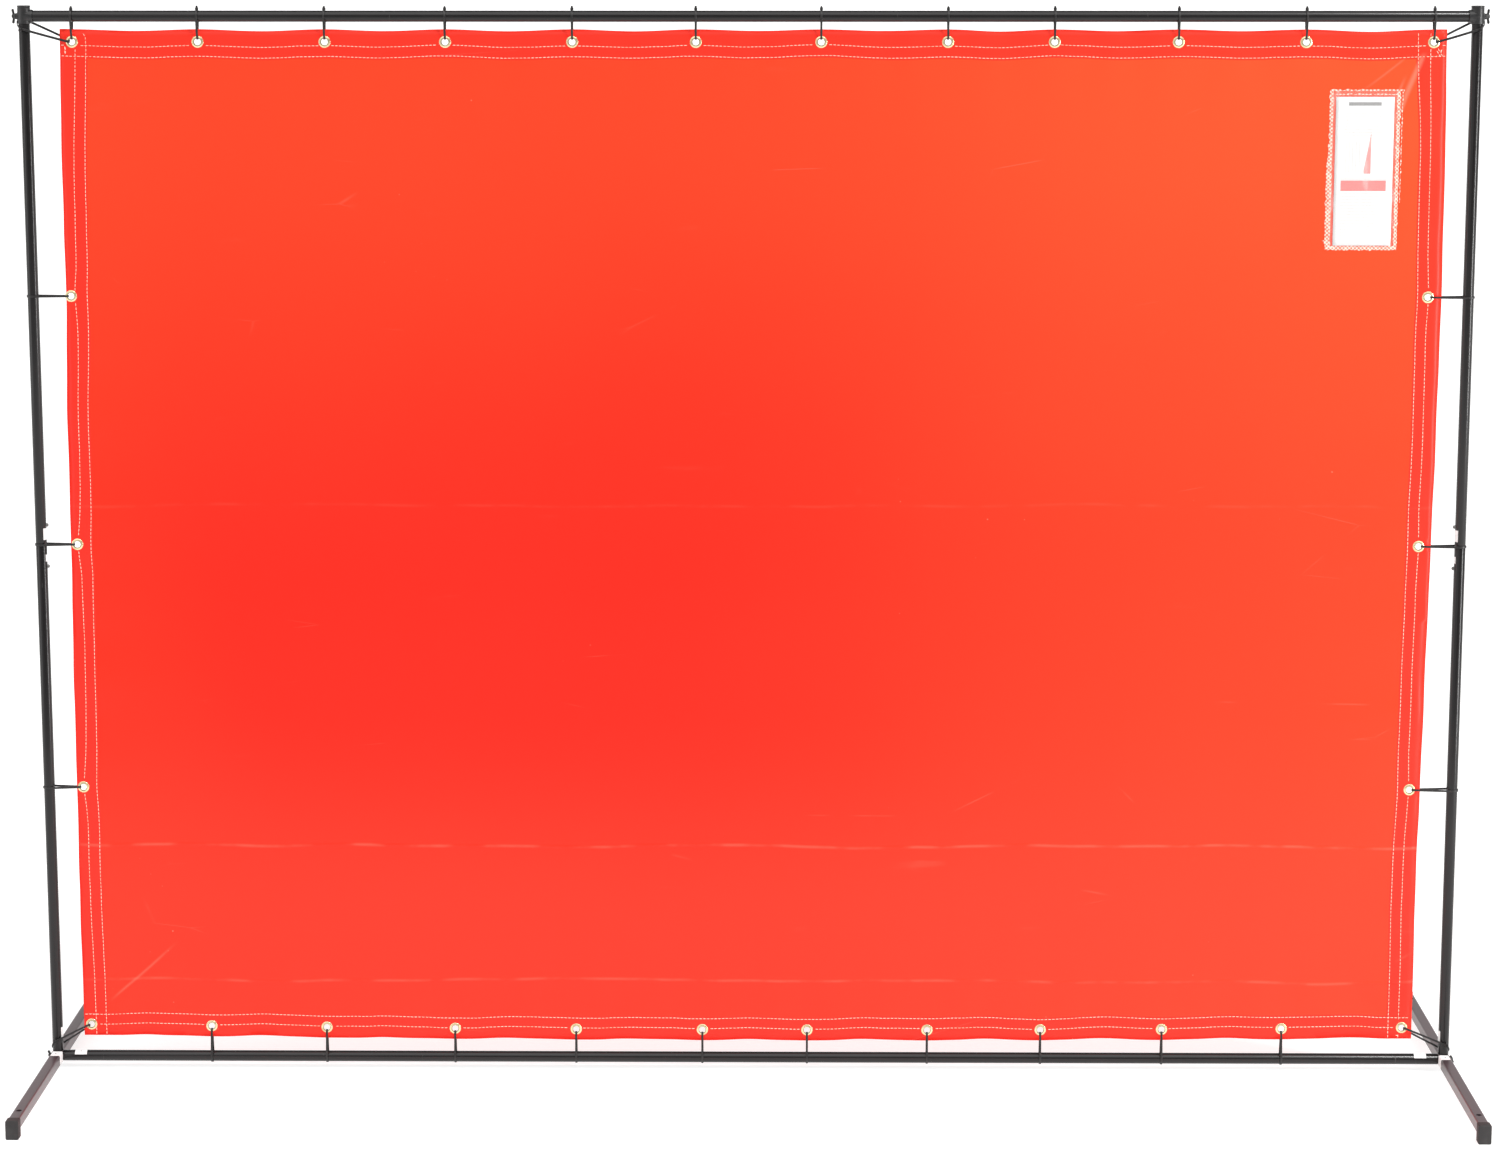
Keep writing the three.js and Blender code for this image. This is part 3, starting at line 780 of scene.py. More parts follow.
def makeWingBolt(name, side, place):
    node = f"wing_bolt_{name}_{place}"
    low, high = box(node)
    z = middle(f"{place}_rail").z
    head = bolt["hubLength"]
    seat = low.x + head if side < 0 else high.x - head
    spot = endPlace(side, seat, z) @ Matrix.Rotation(math.radians(bolt["turns"][f"{name}_{place}"]), 4, "X")
    hub = softened([(0, 0), (bolt["hub"], 0), (bolt["hub"], 1.5), (bolt["hub"] - 1.1, 3.1),
                    (bolt["hub"] - 1.7, head - 1), (bolt["hub"] - 2.7, head), (0, head)], 0.8)
    build = solid(lathe(hub, 48), alongX(flip=True))
    for way in (1, -1):
        # the outline's x runs out along the wing and its y away from the seat
        turn = Matrix(((0, 0, -1, 0), (0, way, 0, 0), (way, 0, 0, 0), (0, 0, 0, 1)))
        half = bolt["thick"] / 2
        build.add(prism(wingOutline(), -half, half, 0.7, 3), turn)
    cast = shown(node + "Cast", build.mesh(node + "Cast", [boltPaint]))
    blendStep = cast.modifiers.new("cast", "REMESH")
    blendStep.mode = "VOXEL"
    blendStep.voxel_size = 0.34 * mm
    soften = cast.modifiers.new("soften", "SMOOTH")
    soften.factor, soften.iterations = 0.5, 7
    made = evaluated(cast)
    bpy.data.objects.remove(cast)
    length = high.x - low.x - head
    radius, pitch = bolt["shank"], bolt["pitch"]
    screw = [(0, -1), (radius, -1), (radius, 4)]
    step = 4.0
    while step + pitch < length - 1:
        screw += [(radius - 0.5, step + pitch * 0.5), (radius, step + pitch)]
        step += pitch
    screw += [(radius - 0.8, length), (0, length)]
    shank = solid(lathe(screw, 32), alongX()).mesh(node + "Shank", [boltPaint], 25)
    join = bmesh.new()
    join.from_mesh(made)
    join.from_mesh(shank)
    join.transform(Matrix.Scale(mm, 4) @ spot @ Matrix.Scale(1 / mm, 4))
    whole = bpy.data.meshes.new(node + "_cast")
    whole.materials.append(boltPaint)
    join.to_mesh(whole)
    join.free()
    addPiece(node + "_cast", smoothed(whole, 50), [node], node)


def makeButton(name, side, level):
    node = f"snap_button_{name}_{level}"
    low, high = box(node)
    x = middle(f"post_{name}_{level}").x
    inner = low.x - x if side < 0 else x - high.x
    tip = high.x - x if side < 0 else x - low.x
    place = endPlace(side, x, (low.z + high.z) / 2)
    radius, thick = button["radius"], button["leaf"]
    pin = [(0, inner + 0.3), (radius, inner + 0.3), (radius, tip - 2.3), (radius * 0.96, tip - 1.6),
           (radius * 0.84, tip - 0.9), (radius * 0.62, tip - 0.36), (radius * 0.32, tip - 0.08), (0, tip)]
    width, length = high.y - low.y, high.z - low.z
    leaf = prism(roundedBox(thick, length, 0.4, 4, (inner + thick / 2, 0)), -width / 2, width / 2, 0.3)
    solid(lathe(pin, 48), place @ alongX()).add(leaf, place).piece(
        node + "_pin", [buttonSteel], "button_steel", [node], node)


for name, side in sides:
    makeFitting(name, side)
    for place in ("top", "bottom"):
        makeWingBolt(name, side, place)
    for level in ("lower", "upper"):
        makeButton(name, side, level)
print("fittings, bolts and buttons made")


# Curtain: one sheet with its edges folded to the back, sewn twice round, with grommets

curtain = {
    "thick": 0.42, "cell": 11.0, "hole": 5.9, "holeSteps": 28, "fold": 0.47,
    "left": ((1813, -1160.5), (1600, -1163), (1364, -1163), (1150, -1168), (936, -1168.5), (700, -1171),
             (508, -1171.5), (280, -1173), (61, -1172)),
    "right": ((1813, 1169.5), (1600, 1173.5), (1364, 1174.3), (1150, 1172), (936, 1169.5), (700, 1166),
              (508, 1164), (364, 1161.5), (61, 1162.5)),
    "dip": 7, "pullUp": 1.6, "sagBetween": -1.7, "halfWide": 1168.5, "layerGap": 0.06,
    "wave": 5.0, "ripple": 1.5, "flute": 1.7, "star": 1.5, "starReach": 420,
    "calm": 46, "pouchCalm": 70,  # how far the sheet is held flat round a grommet and round the pouch
    "rowsTop": (26.5, 44.5), "rowsBottom": (20.5, 38.5),
    "rowsLeft": (((1813, 18), (1801, 25), (1510, 19), (1150, 19.5), (936, 16.3), (720, 19.5), (500, 17),
                  (61, 21)),
                 ((1813, 36), (1801, 43), (1510, 38), (936, 35.5), (500, 36.5), (61, 39))),
    "rowsRight": (((1813, 27), (1600, 25), (936, 22.5), (500, 22), (61, 23)),
                  ((1813, 48), (1600, 42), (936, 40), (500, 40), (61, 41))),
    "hemBeyond": 3.4,  # from the inner row of stitches to the raw edge behind
}
strap = {"thick": 1.2, "wide": 3.6, "gap": 2.2, "eye": 4.936}


def follow(points):
    # smooth curve through (place, value) pairs
    points = sorted(points)

    def at(place):
        if place <= points[0][0]:
            return points[0][1]
        for (start, low), (end, high) in zip(points, points[1:]):
            if place <= end:
                t = (place - start) / (end - start)
                return low + (high - low) * t * t * (3 - 2 * t)
        return points[-1][1]

    return at


sheetLow, sheetHigh = box("curtain")
bottomCorner = sheetLow.z + curtain["dip"]
eyeShift = strap["eye"] - strap["thick"]
cornerX, cornerZ = sheetLow.x + 16.1, bottomCorner + 17.9
cornerGap = 2 * (curtain["halfWide"] - 16)
topSpots = [(middle(f"tie_top_{i}").x, box(f"tie_top_{i}")[0].z - eyeShift) for i in range(1, 13)]
bottomSpots = [(cornerX, cornerZ),
               *((middle(f"tie_bottom_{i}").x, box(f"tie_bottom_{i}")[1].z + eyeShift) for i in range(1, 11)),
               (cornerX + cornerGap, cornerZ)]
leftSpots = [(box(f"tie_left_{i}")[1].x + eyeShift, middle(f"tie_left_{i}").z) for i in range(1, 4)]
rightSpots = [(box(f"tie_right_{i}")[0].x - eyeShift, middle(f"tie_right_{i}").z) for i in range(1, 4)]
spots = topSpots + bottomSpots + leftSpots + rightSpots

leftEdge = follow(curtain["left"])
rightEdge = follow(curtain["right"])


def offSpots(x, z):
    # square of the way to the nearest grommet
    return min((x - a) ** 2 + (z - b) ** 2 for a, b in spots)


def scallop(row, seed):
    # the edge is drawn out at each grommet and slack between them
    dice = random.Random(seed)
    points = [(row[0][0] - 16, curtain["pullUp"] + 0.6)]
    for (x, _), (nextX, _) in zip(row, row[1:]):
        points += [(x, curtain["pullUp"]), ((x + nextX) / 2, curtain["sagBetween"] * dice.uniform(0.6, 1.3))]
    points += [(row[-1][0], curtain["pullUp"]), (row[-1][0] + 16, curtain["pullUp"] + 0.4)]
    return follow(points)


topScallop = scallop(topSpots, 3)
bottomScallop = scallop(bottomSpots, 8)


def topEdge(x):
    return sheetHigh.z - 0.6 + topScallop(x)


def bottomEdge(x):
    dip = curtain["dip"] * (1 - min(1, (x / curtain["halfWide"]) ** 2))
    return bottomCorner - dip - bottomScallop(x) * 0.8


def pulledIn(column, amount):
    # a sewn row bends towards each side grommet
    def at(z):
        return sum(amount * math.exp(-((z - spot[1]) / 42) ** 2) for spot in column)

    return at


leftPull, rightPull = pulledIn(leftSpots, 4.6), pulledIn(rightSpots, 2.4)
leftRows = [follow(row) for row in curtain["rowsLeft"]]
rightRows = [follow(row) for row in curtain["rowsRight"]]


def waver(x, y, z):
    return noise.noise(Vector((x, y, z)))


def wobble(place, seed):
    return waver(place / 210, seed, 0) * 2.6 + waver(place / 31, seed, 4) * 0.55


def rowAt(where, number):
    # the sewn row as a function of the place along it; the wobble keeps both rows of a hem together
    seed = {"top": 1, "bottom": 2, "left": 3, "right": 4}[where]
    if where == "top":
        return lambda x: (x, topEdge(x) - curtain["rowsTop"][number] + wobble(x, seed))
    if where == "bottom":
        return lambda x: (x, bottomEdge(x) + curtain["rowsBottom"][number] + wobble(x, seed))
    if where == "left":
        return lambda z: (leftEdge(z) + leftRows[number](z) - leftPull(z) * (1 - 0.5 * number)
                          + wobble(z, seed) * 0.6, z)
    return lambda z: (rightEdge(z) - rightRows[number](z) + rightPull(z) * (1 - 0.5 * number)
                      + wobble(z, seed) * 0.6, z)


pouchLow, pouchHigh = box("document_pouch")
corners = (topSpots[0], topSpots[-1], bottomSpots[0], bottomSpots[-1])


def drift(x, z):
    # how far the sheet stands out of its plane
    hold = 1 - math.exp(-offSpots(x, z) / curtain["calm"] ** 2)
    aside = max(pouchLow.x - 5 - x, x - pouchHigh.x - 5, pouchLow.z - 5 - z, z - pouchHigh.z - 5, 0)
    share = min(1, aside / curtain["pouchCalm"])
    hold *= share ** 2 * (3 - 2 * share)
    out = waver(x / 560, z / 430, 1.7) * curtain["wave"]
    out += waver(x / 190, z / 260, 5.2) * curtain["ripple"]
    flute = curtain["flute"]
    for edge, seed in ((abs(z - sheetHigh.z), 0.3), (abs(z - bottomCorner), 2.1)):
        out += math.sin(x / 17 + seed + 2 * waver(x / 130, seed, 0)) * flute * math.exp(-edge / 85)
    for edge, seed in ((abs(x - sheetLow.x), 0.9), (abs(x - sheetHigh.x), 3.3)):
        out += math.sin(z / 24 + seed + 2 * waver(z / 150, seed, 0)) * flute * math.exp(-edge / 70)
    for a, b in corners:
        away = math.hypot(x - a, z - b)
        if away < curtain["starReach"]:
            out += curtain["star"] * math.sin(8 * math.atan2(z - b, x - a)) * math.exp(-away / 130)
    return out * hold


def steps(start, end, cell):
    count = max(2, round(abs(end - start) / cell))
    return [start + (end - start) * i / count for i in range(count + 1)]


def edgeLoop(left, right, bottom, top):
    # closed loop of points between four edge curves
    cell = curtain["cell"]
    topZ, bottomZ = top(0), bottom(0)
    for _ in range(3):
        topLeft, topRight = left(topZ), right(topZ)
        topZ = top(topLeft)
    bottomLeft, bottomRight = left(bottomZ), right(bottomZ)
    loop = [(x, top(x)) for x in steps(topLeft, topRight, cell)][:-1]
    loop += [(right(z), z) for z in steps(top(topRight), bottom(bottomRight), cell)][:-1]
    loop += [(x, bottom(x)) for x in steps(bottomRight, bottomLeft, cell)][:-1]
    loop += [(left(z), z) for z in steps(bottom(bottomLeft), top(topLeft), cell)][:-1]
    return loop


def hemLine(where):
    row = rowAt(where, 1)
    part = 1 if where in ("top", "bottom") else 0
    beyond = curtain["hemBeyond"] * (-1 if where in ("top", "right") else 1)
    return lambda place: row(place)[part] + beyond


sheetEdges = (leftEdge, rightEdge, bottomEdge, topEdge)
hemEdges = [hemLine(where) for where in ("left", "right", "bottom", "top")]
outerLoop, innerLoop = edgeLoop(*sheetEdges), edgeLoop(*hemEdges)


def inside(x, z, edges):
    left, right, bottom, top = edges
    return left(z) < x < right(z) and bottom(x) < z < top(x)


def clearOfLoops(x, z, gap):
    for left, right, bottom, top in (sheetEdges, hemEdges):
        if min(abs(x - left(z)), abs(x - right(z)), abs(z - bottom(x)), abs(z - top(x))) < gap:
            return False
    return offSpots(x, z) > (curtain["hole"] + 9.5) ** 2


def flatSheet():
    # triangles of the flat cut, with the grommet holes open; True marks those in the hem
    cell, hole = curtain["cell"], curtain["hole"]
    points, links = [], []

    def loop(ring):
        start = len(points)
        points.extend(ring)
        links.extend((start + i, start + (i + 1) % len(ring)) for i in range(len(ring)))

    loop(outerLoop)
    loop(innerLoop)
    for a, b in spots:
        loop([(a + c, b + d) for c, d in circle(hole, curtain["holeSteps"])])
        points.extend((a + c, b + d) for c, d in circle(hole + 4.5, 20))
    for z in steps(sheetLow.z, sheetHigh.z, cell):
        for x in steps(sheetLow.x, sheetHigh.x, cell):
            if inside(x, z, sheetEdges) and clearOfLoops(x, z, cell * 0.55):
                points.append((x, z))
    made = delaunay_2d_cdt([Vector(p) for p in points], links, [], 0, 1e-4)
    flat, triangles, kinds = made[0], [], []
    for face in made[2]:
        x = sum(flat[i].x for i in face) / 3
        z = sum(flat[i].y for i in face) / 3
        if inside(x, z, sheetEdges) and offSpots(x, z) >= (hole - 0.15) ** 2:
            triangles.append(list(face))
            kinds.append(not inside(x, z, hemEdges))
    return flat, triangles, kinds


def thicken(piece, thick):
    body = piece.modifiers.new("body", "SOLIDIFY")
    body.thickness, body.offset = thick * mm, 0


def makeCurtain():
    flat, triangles, kinds = flatSheet()
    depths = [drift(p.x, p.y) for p in flat]
    sheet = Build()
    sheet.points = [Vector((p.x, depth, p.y)) for p, depth in zip(flat, depths)]
    sheet.faces = triangles
    sheet.looks = [int(kind) for kind in kinds]
    made = sheet.piece(
        "curtain_sheet", [finishes["sheet"], finishes["hem"]], "curtain_vinyl", ["curtain"], sharp=60)
    thicken(made, curtain["thick"])
    # the folded layer lies behind the sheet, joined to it by a rounded fold
    back = Build()
    used = sorted({i for face, kind in zip(triangles, kinds) if kind for i in face})
    number = {old: new for new, old in enumerate(used)}
    lift = curtain["thick"] + curtain["layerGap"]
    layer = [Vector((flat[i].x, depths[i] + lift, flat[i].y)) for i in used]
    half = curtain["thick"] / 2
    folded = [[number[i] for i in face] for face, kind in zip(triangles, kinds) if kind]
    for shift in (-half, half):
        back.add(([p + yAxis * shift for p in layer], folded))
    borders = {}
    for face in folded:
        for a, b in zip(face, face[1:] + face[:1]):
            key = (min(a, b), max(a, b))
            borders[key] = borders.get(key, 0) + 1
    count = len(layer)
    back.faces += [[a, b, b + count, a + count] for (a, b), uses in borders.items() if uses == 1]
    back.looks += [0] * (len(back.faces) - len(back.looks))
    total = len(outerLoop)
    centres, outs = [], []
    for i, (x, z) in enumerate(outerLoop):
        before, after = Vector(outerLoop[i - 1]), Vector(outerLoop[(i + 1) % total])
        along = (after - before).normalized()
        centres.append(Vector((x, drift(x, z) + lift / 2, z)))
        outs.append(Vector((-along.y, 0, along.x)))
    turns = [math.pi * (i / 6 - 0.5) for i in range(7)]
    bulge = [(curtain["fold"] * math.cos(t), curtain["fold"] * math.sin(t)) for t in turns]
    back.add(sweep(centres, outs, [yAxis] * total, bulge, True))
    hem = back.piece("curtain_hem", [finishes["hem"]], "curtain_vinyl", sharp=60)
    return made, hem


curtainSheet, curtainHem = makeCurtain()
print("curtain cut and hung:", len(curtainSheet.data.polygons), "triangles")


# Thread, grommets and cable ties

sewing = {"stitch": 5.6, "gap": 1.0, "radius": 0.64, "sides": 6, "clear": 10.3,
          # place along the stitch, share of the radius, and how far it is lifted
          "shape": ((0, 0, -0.12), (0.14, 0.72, 0.12), (0.5, 1.0, 0.42), (0.86, 0.72, 0.12), (1, 0, -0.12))}
grommet = {"outer": 10.15, "inner": 5.7, "lift": 1.25, "steps": 44}
tie = {"ringSteps": 40, "eyeSteps": 12, "strandSteps": 8, "bow": 0.35, "headLong": 5.0, "headTall": 4.4,
       "headWide": 5.2, "tail": 3.3, "clearance": 0.3,
       "topCorner": {"rise": -14, "skew": 0.65}, "bottomCorner": {"rise": 5.6, "skew": -0.7}}


def stitches(build, path, face):
    # a run of separate stitches laid on one face of the sheet; path is a list of (x, z)
    room = [0.0]
    for (x0, z0), (x1, z1) in zip(path, path[1:]):
        room.append(room[-1] + math.hypot(x1 - x0, z1 - z0))

    def at(length):
        high = min(max(1, bisect(room, length)), len(room) - 1)
        low = high - 1
        t = (length - room[low]) / max(1e-6, room[high] - room[low])
        return [path[low][k] + (path[high][k] - path[low][k]) * t for k in (0, 1)]

    start = 0.4
    skin = curtain["thick"] / 2 if face < 0 else hemBack
    while start + sewing["stitch"] < room[-1]:
        (x0, z0), (x1, z1) = at(start), at(start + sewing["stitch"])
        start += sewing["stitch"] + sewing["gap"]
        if min(offSpots(x0, z0), offSpots(x1, z1)) < sewing["clear"] ** 2:
            continue
        rise = drift((x0 + x1) / 2, (z0 + z1) / 2) + skin * face
        along = Vector((x1 - x0, 0, z1 - z0))
        across = Vector((-along.z, 0, along.x)).normalized()
        sections = []
        for t, radius, lift in sewing["shape"]:
            centre = Vector((x0, rise, z0)) + along * t + yAxis * face * lift * sewing["radius"]
            around = circle(radius * sewing["radius"], sewing["sides"] if radius else 1)
            sections.append([centre + across * a + yAxis * b for a, b in around])
        build.add(loft(sections))


def sewnRows():
    rows = []
    for number in (0, 1):
        for where in ("top", "bottom"):
            row = rowAt(where, number)
            z = sheetHigh.z - 30 if where == "top" else bottomCorner + 30
            rows.append([row(x) for x in steps(leftEdge(z) + 1, rightEdge(z) - 1, 4)])
        for where in ("left", "right"):
            row = rowAt(where, number)
            top, bottom = topEdge(row(1800)[0]) - 1, bottomEdge(row(70)[0]) + 1
            rows.append([row(z) for z in steps(bottom, top, 4)])
    for (x, z), run in knots:
        rows.append([(x + a, z + b) for a, b in run])
    return rows


# short bars and a loose knot beside the corner grommets
knots = ((topSpots[0], ((-12.5, -7), (-12, -13), (-12.6, -24))),
         (topSpots[0], ((-11.6, -8), (-11.0, -15), (-11.8, -23))),
         (topSpots[-1], ((7, -10), (10, -16), (14, -12), (11, -20), (16, -23))),
         (topSpots[-1], ((5, -14), (9, -21), (13, -25))),
         (bottomSpots[-1], ((-11, -13.5), (-5, -14.5), (1, -14))))
hemBack = curtain["thick"] * 1.5 + curtain["layerGap"]  # from the sheet's middle to the back of the hem
rows = sewnRows()
for label, face in (("front", -1), ("back", 1)):
    run = Build()
    for path in rows:
        stitches(run, path, face)
    run.piece(f"curtain_thread_{label}", [finishes["thread"]], sharp=70, tidy=False)


def makeGrommets():
    outer, inner, lift = grommet["outer"], grommet["inner"], grommet["lift"]
    front = curtain["thick"] / 2
    back = hemBack
    profile = softened([
        (inner, -front - 0.55), (inner + 0.7, -front - lift), (inner + 1.7, -front - lift * 1.02),
        (outer - 1.7, -front - lift * 0.72), (outer - 0.4, -front - lift * 0.34), (outer, -front + 0.05),
        (outer - 0.7, -front + 0.12), (inner + 0.35, -front + 0.12), (inner + 0.35, back - 0.12),
        (outer - 0.9, back - 0.12), (outer - 0.3, back + 0.1), (outer - 1.2, back + 0.5),
        (inner + 1.6, back + 0.75), (inner + 0.6, back + 0.8), (inner, back + 0.45)], 0.5, 3, True)
    build = Build()
    ring = lathe(profile, grommet["steps"], True)
    # a dark line of painted shade where the washer rolls into the hole
    throat = lathe([
        (inner - 0.06, -front - 0.5), (inner + 0.55, -front - lift - 0.05),
        (inner + 0.75, -front - lift + 0.15), (inner + 0.2, -front - 0.2)], grommet["steps"], True)
    dice = random.Random(11)
    for x, z in spots:
        tilt = Matrix.Rotation(math.radians(dice.uniform(-1.5, 1.5)), 4, "X")
        spin = Matrix.Rotation(dice.uniform(0, 6.28), 4, "Z")
        turn = Matrix.Rotation(math.radians(-90), 4, "X") @ spin
        seat = Matrix.Translation((x, drift(x, z), z)) @ tilt @ turn
        build.add(ring, seat)
        build.add(throat, seat, 1)
    return build.piece("curtain_grommets", [finishes["brass"], finishes["throat"]], sharp=45)


grommets = makeGrommets()
print("hems sewn and grommets set")


def loopPath(distance, ringRadius):
    # middle of the strap, round the bar at the origin and out to a small eye, with outward normals
    grow = strap["thick"] / 2
    lean = math.acos((ringRadius - strap["gap"]) / distance)
    points, outs = [], []

    def arc(centre, radius, start, end, count):
        for i in range(count + 1):
            turn = start + (end - start) * i / count
            out = Vector((math.cos(turn), math.sin(turn)))
            points.append(Vector((centre, 0)) + out * radius)
            outs.append(out)

    def strand(start, end, out):
        # strands between the ring and the eye stand out a little
        for i in range(1, tie["strandSteps"]):
            t = i / tie["strandSteps"]
            points.append(start.lerp(end, t) + out * tie["bow"] * math.sin(math.pi * t))
            outs.append(out)

    up = Vector((math.cos(lean), math.sin(lean)))
    down = Vector((math.cos(lean), -math.sin(lean)))
    arc(0, ringRadius + grow, lean, 2 * math.pi - lean, tie["ringSteps"])
    strand(down * (ringRadius + grow), Vector((distance, 0)) + down * (strap["gap"] + grow), down)
    arc(distance, strap["gap"] + grow, -lean, lean, tie["eyeSteps"])
    strand(Vector((distance, 0)) + up * (strap["gap"] + grow), up * (ringRadius + grow), up)
    return points, outs


def makeTie(name, bar, toward, reach, ringRadius, slope=(0, 0), headAngle=math.pi, seed=0):
    dice = random.Random(seed)
    across = yAxis
    width = toward.cross(across)
    towardLean = toward + width * slope[0]
    acrossLean = across + width * slope[1]
    path, outs = loopPath(reach - strap["gap"], ringRadius)
    flat = Matrix((towardLean, acrossLean, width)).transposed()
    place = Matrix.Translation(bar) @ flat.to_4x4()
    centres = [Vector((p.x, p.y, 0)) for p in path]
    directions = [Vector((o.x, o.y, 0)) for o in outs]
    section = roundedBox(strap["thick"], strap["wide"], 0.35, 3)
    build = solid(sweep(centres, directions, [zAxis] * len(path), section, True), place)
    # the head sits on the ring, and the cut end of the strap comes out through it
    seat = place @ Matrix.Rotation(headAngle, 4, "Z") @ Matrix.Translation((ringRadius, 0, 0))
    tall, long, wide = tie["headTall"], tie["headLong"], tie["headWide"]
    block = softened([
        (0.25, -long / 2), (tall * 0.55, -long / 2), (tall, -long / 2 + 0.7), (tall, long / 2 - 0.5),
        (0.25, long / 2)], 0.7, 4, True)
    stand = Matrix(((1, 0, 0, 0), (0, 0, 1, 0), (0, 1, 0, 0), (0, 0, 0, 1)))
    build.add(prism(block, -wide / 2, wide / 2, 0.45, 3), seat @ stand)
    rim = roundedBox(strap["thick"] + 1.3, strap["wide"] + 0.9, 0.5, 3)
    upright = Matrix(((0, 1, 0, 0), (1, 0, 0, 0), (0, 0, 1, 0), (0, 0, 0, 1)))
    build.add(prism(rim, tall - 0.3, tall + 0.35, 0.2, 2), seat @ upright)
    tail = tie["tail"] * dice.uniform(0.75, 1.06)
    sway = dice.uniform(-0.12, 0.12)
    sections = []
    for t, share in zip((0, 0.3, 0.6, 0.85, 1), (1, 1, 1, 0.86, 0.40) if seed % 3 else (1, 1, 1, 1, 0.95)):
        section = roundedBox(strap["thick"], strap["wide"] * share, 0.3, 3)
        sections.append([(tall - 0.6 + (tail + 0.6) * t, sway * tail * t * t + a, b) for a, b in section])
    build.add(loft(sections, capped=True), seat)
    return build.piece(name + "_strap", [finishes["nylon"]], "tie_nylon", [name], sharp=40)


def cornerEye(slope):
    # how far from the middle of the hole a sloping strap bears on its grommet
    half = strap["wide"] / 2
    room = math.hypot(strap["eye"], half)
    steep = 1 + slope ** 2
    across = abs(slope) * half
    return (math.sqrt(across ** 2 + steep * (room ** 2 - half ** 2)) - across) / steep


def makeTies():
    ring = (box("top_rail")[1].z - box("top_rail")[0].z) / 2 + tie["clearance"]
    topZ, bottomZ = middle("top_rail").z, middle("bottom_rail").z
    postX = {name: middle(f"post_{name}_lower").x for name, _ in sides}
    made = []
    for i, (x, z) in enumerate(topSpots, 1):
        made.append(makeTie(
            f"tie_top_{i}", Vector((x, 0, topZ)), -zAxis, topZ - z - strap["eye"], ring, seed=i))
    for i, (x, z) in enumerate(bottomSpots[1:-1], 1):
        made.append(makeTie(
            f"tie_bottom_{i}", Vector((x, 0, bottomZ)), zAxis, z - bottomZ - strap["eye"], ring,
            headAngle=0.65 * math.pi, seed=20 + i))
    for name, side in sides:
        column = leftSpots if side < 0 else rightSpots
        for i, (x, z) in enumerate(column, 1):
            made.append(makeTie(
                f"tie_{name}_{i}", Vector((postX[name], 0, z)), Vector((-side, 0, 0)),
                abs(x - postX[name]) - strap["eye"], ring, headAngle=0.65 * math.pi, seed=40 + i + side))
        corner = 0 if side < 0 else -1
        footTop = box(f"post_{name}_lower")[0].z
        top, low = tie["topCorner"], tie["bottomCorner"]
        sleeve = fitting["sleeve"] + tie["clearance"]
        lowZ = footTop + low["rise"] - low["skew"] * ring
        for where, spot, z, skew, radius in (
                ("top", topSpots[corner], topZ + top["rise"], top["skew"], sleeve),
                ("bottom", bottomSpots[corner], lowZ, low["skew"], ring)):
            run = abs(spot[0] - postX[name])
            slope = (spot[1] - z) / run
            made.append(makeTie(
                f"tie_corner_{name}_{where}", Vector((postX[name], 0, z)), Vector((-side, 0, 0)),
                run - cornerEye(slope), radius, (-side * slope, -side * skew),
                headAngle=1.4 * math.pi, seed=60 + side + len(where)))
    return made


print("ties pulled tight:", len(makeTies()))


# Clear pouch with its card

pouch = {"seam": 6.0, "skin": 0.35, "card": 0.3, "rough": 2.1, "swell": 3.2}


def patch(surface, across, up):
    # a grid of faces over a surface given by two shares
    points = [surface(i / across, k / up) for k in range(up + 1) for i in range(across + 1)]
    return solid((points, gridFaces(across, up)))


def weldStrip(start, end, wide, seed, y, swell):
    # one welded edge with a ragged outline, as a closed thin pad
    start, end = Vector(start), Vector(end)
    along = (end - start).normalized()
    across = Vector((-along.y, along.x))
    count = max(12, round((end - start).length / 2.2))
    points, faces = [], []
    lanes = 4
    for t in (i / count for i in range(count + 1)):
        centre = start.lerp(end, t)
        low = -wide / 2 + waver(t * count * 0.31, seed, 0) * pouch["rough"]
        high = wide / 2 + waver(t * count * 0.27, seed, 7) * pouch["rough"]
        high += swell * max(0, min(1, (0.66 - t) * 6))
        for k in range(lanes + 1):
            p = centre + across * (low + (high - low) * k / lanes)
            rise = 0.22 * math.sin(math.pi * k / lanes) + 0.10 * waver(p.x / 3, p.y / 3, seed)
            points.append((p.x, y - 0.22 - rise, p.y))
    rowLength = lanes + 1
    top = len(points)
    points += [(p[0], y, p[2]) for p in points[:top]]
    for quad in gridFaces(lanes, count):
        faces += [quad, [top + j for j in reversed(quad)]]
    rim = [*range(rowLength), *(i * rowLength + lanes for i in range(1, count + 1)),
           *(count * rowLength + k for k in range(lanes - 1, -1, -1)),
           *(i * rowLength for i in range(count - 1, 0, -1))]
    for a, b in zip(rim, rim[1:] + rim[:1]):
        faces.append([a, b, top + b, top + a])
    return points, faces


